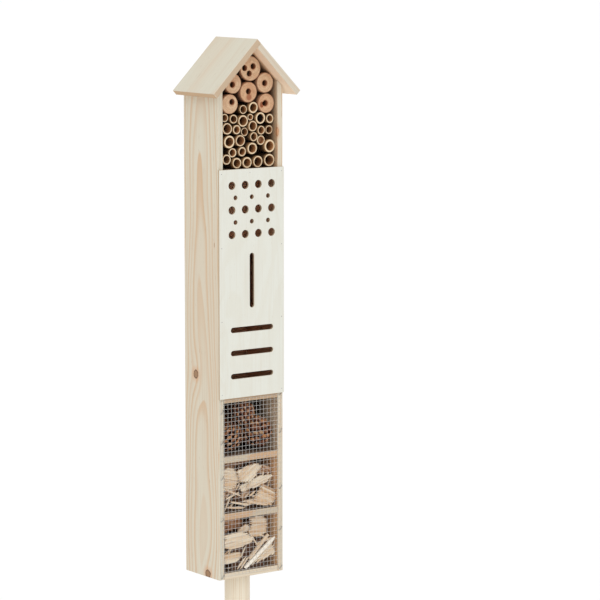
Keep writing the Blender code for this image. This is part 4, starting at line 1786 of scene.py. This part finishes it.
@dataclass
class ChipBoxes(Assembly):
    """Split chips, splinters and the shavings behind them, in two rooms."""

    strip: float = 0.0022
    thickness: float = 0.005
    shortest: float = 0.004  # a strip shorter than this is left out
    plans: tuple[ChipPlan, ...] = (
        ChipPlan("slab_upper_left", 33, (0.02, 0.08), (
            (-21.5, 456), (-11, 461), (0, 464.5), (14, 465), (25, 460), (14, 451), (4.5, 442.7), (-6, 438),
            (-18, 441)),
            0.1, 0.0, "chip_upper_left"),
        ChipPlan("slab_upper_middle", 17, (-0.05, 0.10), (
            (-17, 431), (-12, 435.5), (5, 440), (24, 444.5), (45, 446), (38, 439), (30, 434.5), (8, 429),
            (-9, 425)),
            0.15, 0.002, "chip_upper_middle"),
        ChipPlan("slab_upper_right", -28, (0.05, 0.04), (
            (8, 418), (15, 426), (22, 433), (34, 427), (46, 419), (48, 410), (43, 401.5), (34, 400), (12, 404),
            (6.5, 409)),
            0.72, 0.0, "chip_upper_right"),
        ChipPlan("slab_lower_left", 3, (0.02, 0.08), (
            (-46, 363), (-30, 366), (-10, 364.5), (2, 360.5), (7.5, 355), (4, 348), (-12, 344.5), (-34, 343),
            (-46, 346)),
            0.1, 0.0, "chip_lower_left"),
        ChipPlan("slab_lower_top", -6, (0.04, 0.08), (
            (4, 383), (20, 385), (34, 381), (35, 370), (33, 359), (22, 355), (6, 356), (-1, 361), (5, 371)),
            0.45, 0.004, "chip_lower_top"),
        ChipPlan("slab_lower_right", 30, (-0.03, 0.06), (
            (20, 331), (30, 338), (40, 344), (46, 337), (46, 327), (30, 322), (12, 317), (0, 316), (6, 322)),
            0.35, 0.002, "chip_lower_right"),
        ChipPlan("slab_lower_corner", 2, (0.03, 0.04), (
            (-46, 336), (-28, 336.5), (-18, 336), (-13, 332), (-18, 323), (-30, 322), (-46, 322)),
            0.4, 0.002, "chip_lower_corner"),
        ChipPlan("shard_upper_edge", -14, (0.03, 0.05), (
            (-46, 462), (-34, 463), (-20, 458), (-14, 447), (-19, 439), (-32, 431), (-46, 429)), 0.30, 0.003),
        ChipPlan("shard_upper_low", 34, (0.02, 0.0), (
            (-46, 420), (-34, 429), (-22, 436), (-12, 433), (-18, 426), (-32, 419), (-42, 416)), 0.92, 0.011),
        ChipPlan("shard_upper_behind", -32, (0.0, 0.0), (
            (20, 450), (32, 458), (46, 455), (46, 446), (34, 446), (22, 446)), 0.85, 0.012),
        ChipPlan("shard_upper_curl", 50, (0.0, 0.0), (
            (-10, 412), (-8, 421), (2, 427), (8, 424), (2, 415), (-4, 410)), 0.8, 0.010),
        ChipPlan("shard_upper_top", -8, (0.0, 0.0), (
            (-46, 471), (-20, 474), (4, 475), (24, 472), (20, 467), (0, 463), (-14, 460), (-24, 456),
            (-46, 463)),
            0.95, 0.018),
        ChipPlan("shard_lower_behind", -10, (0.0, 0.0), (
            (-46, 381), (-26, 386), (-6, 384), (2, 376), (-8, 368), (-32, 365), (-46, 366)), 0.95, 0.018),
        ChipPlan("shard_lower_rise", 42, (0.0, 0.0), (
            (-18, 364), (-10, 373), (2, 376), (6, 371), (0, 364), (-10, 361)), 0.35, 0.007),
        ChipPlan("shard_lower_low", 24, (0.0, 0.0), (
            (0, 330), (6, 342), (20, 345), (26, 338), (14, 330)), 0.7, 0.009),
    )
    sticks: tuple[StickPlan, ...] = (
        StickPlan((-0.0350, 0.4135), (-0.0040, 0.4055), 0.0026, 0.0006),
        StickPlan((-0.0070, 0.4115), (0.0310, 0.4010), 0.0030, 0.0010),
        StickPlan((-0.0420, 0.4060), (-0.0100, 0.4020), 0.0024, 0.0016),
        StickPlan((-0.0440, 0.4330), (-0.0180, 0.4210), 0.0026, 0.0012),
        StickPlan((-0.0104, 0.3123), (0.0430, 0.3517), 0.0046, 0.0002),
        StickPlan((-0.0020, 0.3250), (0.0320, 0.3570), 0.0040, 0.0010),
        StickPlan((-0.0240, 0.3120), (-0.0080, 0.3290), 0.0020, 0.0016),
        StickPlan((-0.0180, 0.3120), (-0.0040, 0.3280), 0.0022, 0.0012),
    )
    whitest: int = 4         # which of them is pale, fresh wood
    loose: int = 34          # more of them in each room
    shavings: int = 190
    reach: float = 0.045     # splinters stay within this of the middle

    def build(self) -> None:
        """Split every chip, then lay the splinters and the shavings."""
        finish = SplitWoodFinish().build()
        for number, plan in enumerate(self.plans, start=1):
            self._chip(plan, number, finish)
        self._splinters(finish)
        self._shavings(finish)

    @staticmethod
    def _span(outline: list[Vector], offset: float, along: Vector, across: Vector) -> Optional[Pair]:
        """Find where a line along the fibres enters and leaves an outline.

        Args:
            outline: The corners.
            offset: The line's place across the fibres.
            along: Fibre direction.
            across: Direction across the fibres.

        Returns:
            First and last place along the fibres, or None outside it.
        """
        hits = []
        for first, last in zip(outline, outline[1:] + outline[:1]):
            low, high = first.dot(across) - offset, last.dot(across) - offset
            if low * high < 0:
                share = low / (low - high)
                hits.append(first.lerp(last, share).dot(along))
        return (min(hits), max(hits)) if len(hits) >= 2 else None
    def _chip(self, plan: ChipPlan, number: int, finish: Material) -> None:
        """Build one chip from torn strips that fill its outline.

        Args:
            plan: What sets it apart.
            number: Its number, which seeds its chance values.
            finish: Its material.
        """
        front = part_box("wire_mesh")[1].y + 0.0024 + plan.back
        outline = [Vector((x * MM, z * MM)) for x, z in plan.corners]
        middle = sum(outline, Vector((0, 0))) / len(outline)
        angle = math.radians(plan.fibres)
        along, across = Vector((math.cos(angle), math.sin(angle))), Vector((-math.sin(angle), math.cos(angle)))
        rng = random.Random(500 + number)
        offsets = [corner.dot(across) for corner in outline]
        shape = bmesh.new()
        layer = shape.verts.layers.float.new(TONE)
        offset, step_back = min(offsets), 0.0010

        def spot(run: float, side: float, deep: float) -> Vector:
            """Place in the room of a point on a strip."""
            flat = along * run + across * side
            back = (flat.x - middle.x) * plan.lean[0] + (flat.y - middle.y) * plan.lean[1]
            return Vector((flat.x, front + deep + max(back, -0.001), flat.y))

        while offset < max(offsets):
            wide = self.strip * rng.uniform(0.4, 1.7)
            span = self._span(outline, offset + wide / 2, along, across)
            if span and span[1] - span[0] > self.shortest:
                start = span[0] + rng.uniform(-0.0012, 0.0020)
                end = span[1] - rng.uniform(-0.0012, 0.0030)
                step_back = min(0.0024, max(0.0, step_back + rng.uniform(-0.0010, 0.0010)))
                thick = self.thickness * rng.uniform(0.5, 0.9)
                tone = min(1.0, max(0.06, plan.tone + rng.uniform(-0.35, 0.40)))
                sides = (offset, offset + wide)
                self._strip(shape, {layer: tone}, spot, (start, end), sides, (step_back, thick), rng)
            offset += wide * 0.94
        piece = make_piece(plan.name, shape, finish, 30.0)

        def grain_of(point: Vector) -> Vector:
            """Place along and across the chip's fibres."""
            flat = Vector((point.x, point.z))
            return Vector((flat.dot(across), point.y, flat.dot(along) + number * 1.7))

        write(piece.data, GRAIN, grain_of)
        self.place(piece, "split_wood", plan.node)

    @staticmethod
    def _strip(shape: Shape, values: dict, spot: Callable[[float, float, float], Vector], span: Pair,
               sides: Pair, depth: Pair, rng: random.Random) -> None:
        """Add one strip with wavering edges and torn ends.

        Args:
            shape: The shape it joins.
            values: Value of each layer on it.
            spot: Turns a run, a side and a depth into a place in the room.
            span: Where it starts and ends along the fibres.
            sides: Where it lies across them.
            depth: How far back its front is, and its thickness.
            rng: Source of its chance values.
        """
        count = max(4, int((span[1] - span[0]) / 0.006))
        rings = []
        twist = rng.uniform(-0.25, 0.25)
        for index in range(count + 1):
            torn = index in (0, count)
            run = span[0] + (span[1] - span[0]) * (index / count)
            taper = rng.uniform(0.25, 0.8) if torn else 1.0
            half = (sides[1] - sides[0]) / 2 * 1.12 * taper
            centre = (sides[0] + sides[1]) / 2 + rng.uniform(-0.00015, 0.00015)
            front = depth[0] + rng.uniform(-0.00012, 0.00012)
            back = front + depth[1] * taper
            slant = half * twist
            ridge = half * rng.uniform(0.1, 0.35)
            corners = ((-half, front + slant), (-half * 0.1, front - ridge), (half, front - slant),
                       (half * 0.9, back), (-half * 0.9, back))
            shift = [rng.uniform(-0.0011, 0.0011) if torn else 0.0 for _ in corners]
            points = [spot(run + move, centre + side, max(0.0, deep))
                      for (side, deep), move in zip(corners, shift)]
            rings.append(ring_of(shape, points, values))
        loft(shape, rings, closed=True)

    def _loose_sticks(self, rng: random.Random) -> list[StickPlan]:
        """Drop splinters at random in both rooms.

        Args:
            rng: Source of the draws.

        Returns:
            The splinters.
        """
        sticks = []
        for floor, ceiling in (("chip_floor", "cone_floor"), ("floor_board", "chip_floor")):
            bottom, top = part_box(floor)[1].z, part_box(ceiling)[0].z
            for _ in range(self.loose):
                length = rng.uniform(0.009, 0.030)
                angle = rng.gauss(0.15, 0.7)
                half = Vector((math.cos(angle), math.sin(angle))) * length / 2
                x = rng.uniform(-self.reach + abs(half.x), self.reach - abs(half.x))
                z = rng.uniform(bottom + abs(half.y) + 0.002, bottom + (top - bottom) * 0.62)
                sticks.append(StickPlan((x - half.x, z - half.y), (x + half.x, z + half.y),
                                        rng.uniform(0.0010, 0.0026), rng.uniform(0.0030, 0.0130)))
        return sticks

    def _splinters(self, finish: Material) -> None:
        """Lay loose sticks over the chips, the long diagonal one among them.

        Args:
            finish: Their material.
        """
        rng = random.Random(77)
        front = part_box("wire_mesh")[1].y
        shape = bmesh.new()
        layer = shape.verts.layers.float.new(TONE)
        grain = shape.verts.layers.float_vector.new(GRAIN)
        for number, stick in enumerate([*self.sticks, *self._loose_sticks(rng)]):
            first, last = Vector(stick.start), Vector(stick.end)
            along = (last - first).normalized()
            across = Vector((-along.y, along.x))
            before = set(shape.verts)

            def spot(run: float, side: float, deep: float) -> Vector:
                """Place in the room of a point on the splinter."""
                flat = first + along * run + across * side
                return Vector((flat.x, front + 0.0004 + stick.back + deep, flat.y))

            tone = rng.uniform(0.1, 0.8) * (number != self.whitest)
            sides = (-stick.wide / 2, stick.wide / 2)
            span, depth = (0.0, (last - first).length), (0.0002, stick.wide * 0.8)
            self._strip(shape, {layer: tone}, spot, span, sides, depth, rng)
            for vertex in set(shape.verts) - before:
                flat = Vector((vertex.co.x, vertex.co.z))
                vertex[grain] = Vector((flat.dot(across), vertex.co.y, flat.dot(along) + number * 0.31))
        self.place(make_piece("loose_splinters", shape, finish, 30.0), "split_wood")

    def _shavings(self, finish: Material) -> None:
        """Heap small shards behind the chips of both rooms.

        Args:
            finish: Their material.
        """
        shape = bmesh.new()
        grain = shape.verts.layers.float_vector.new(GRAIN)
        sections = (
            (-0.5, 0.05, 0.03), (-0.38, 0.16, 0.06), (0.1, 0.19, 0.07), (0.42, 0.12, 0.05), (0.5, 0.06, 0.03))
        outline = ((-1, -0.7), (1, -1), (0.8, 0.9), (-0.9, 1))
        rings = [ring_of(shape, [Vector((run, y * half, z * thick)) for y, z in outline])
                 for run, half, thick in sections]
        loft(shape, rings, closed=True)
        for vertex in shape.verts:
            vertex[grain] = Vector((vertex.co.y, vertex.co.z, vertex.co.x)) * 0.03
        pattern = make_piece("shard_pattern", shape, finish)
        rooms = (("upper", "chip_floor", 0.062), ("lower", "floor_board", 0.064))
        for number, (label, floor, rise) in enumerate(rooms):
            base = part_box(floor)[1].z
            bench = FormBench(label + "_shavings_tree", {
                "Shard": pattern, "Count": self.shavings, "Low": (-0.037, -0.008, base + 0.003),
                "High": (0.037, 0.030, base + rise), "Longest": 0.034, "Seed": 60 + number, "Finish": finish})
            seed = bench.number("Seed")
            spot = bench.scatter(bench.given("Low"), bench.given("High"), seed)
            points = bench.form("Points", None, {"Count": bench.number("Count"), "Position": spot})
            turn = bench.scatter((-0.9, -0.55, -0.5), (1.6, 0.55, 0.5), seed + 7)
            long = bench.chance(0.45, 1.0, seed + 13) * bench.number("Longest")
            size, tone = bench.vector(long, long, long), bench.chance(0.2, 1.0, seed + 19)
            shards = bench.copies(points, "Shard", turn, size, tone)
            self.place(bench.make(label + "_shavings", [shards]), "split_wood")
        bpy.data.objects.remove(pattern, do_unlink=True)


# --------------------------------------------------------------------- studio

@dataclass
class Studio:
    """Pale floor, soft light and the camera."""

    floor_level: float = -0.25
    floor_size: float = 150.0
    sky: float = 0.76
    key_strength: float = 1.12
    key_width: float = 70.0          # degrees
    key_turn: Pair = (-36.0, 48.0)   # degrees round from the front, and up
    camera_place: Triple = (-2.3223, -3.3117, 1.2587)
    camera_turn: Triple = (82.178, -0.013, -36.349)
    lens: float = 168.3
    film: float = 36.0
    sight: Pair = (0.05, 400.0)      # nearest and farthest things in view

    def build(self) -> None:
        """Set up the floor, the light and the camera."""
        scene = bpy.context.scene
        scene.view_settings.view_transform = "Standard"
        scene.world = bpy.data.worlds.new("studio_air")
        scene.world.use_nodes = True
        air = scene.world.node_tree.nodes["Background"].inputs
        air[0].default_value, air[1].default_value = (1.0, 1.0, 1.0, 1.0), self.sky
        self._floor()
        self._light()
        self._camera(scene)

    def _floor(self) -> None:
        """Lay a wide, plain, pale floor under the stake's point."""
        shape = bmesh.new()
        bmesh.ops.create_grid(shape, x_segments=1, y_segments=1, size=self.floor_size,
                              matrix=Matrix.Translation((0, 0, self.floor_level - 0.0005)))
        bench = FinishBench("studio_floor")
        grain = bench.noise(bench.place, (8, 8, 8), 2.0)
        colour = bench.coats((1.0, 1.0, 1.0, 1.0), (grain * 0.04, (0.98, 0.98, 0.98, 1.0)))
        paint = bench.finish(colour, 0.9, bench.relief((grain, 0.00001)), gloss=0.1)
        make_piece("studio_floor", shape, paint)

    def _light(self) -> None:
        """Hang one wide soft light, high in front and to the left."""
        data = bpy.data.lights.new("key_light", "SUN")
        data.energy, data.angle = self.key_strength, math.radians(self.key_width)
        light = new_object("key_light", data)
        sideways, up = (math.radians(angle) for angle in self.key_turn)
        source = Vector((math.sin(sideways) * math.cos(up), -math.cos(sideways) * math.cos(up), math.sin(up)))
        light.location = source * 4
        light.rotation_euler = (-source).to_track_quat("-Z", "Y").to_euler()

    def _camera(self, scene: bpy.types.Scene) -> None:
        """Stand the camera in front, to the left and a little above the middle.

        Args:
            scene: The scene that looks through it.
        """
        data = bpy.data.cameras.new("camera")
        data.lens, data.sensor_width = self.lens, self.film
        data.clip_start, data.clip_end = self.sight
        scene.camera = new_object("camera", data)
        scene.camera.location = self.camera_place
        scene.camera.rotation_euler = [math.radians(angle) for angle in self.camera_turn]


# ----------------------------------------------------------------------- main


def main() -> None:
    """Build and dress the insect hotel, from the carcass to the stake."""
    logging.basicConfig(level=logging.INFO, format="%(message)s")
    shop = Ironmonger()
    Carcass().build()
    Roof().build()
    FrontPanel().build(shop)
    WeldedMesh().build(shop)
    for assembly in (LogStack, BambooBundle, ConeRoom, ChipBoxes, Stake, Studio):
        assembly().build()


if __name__ == "__main__":
    main()
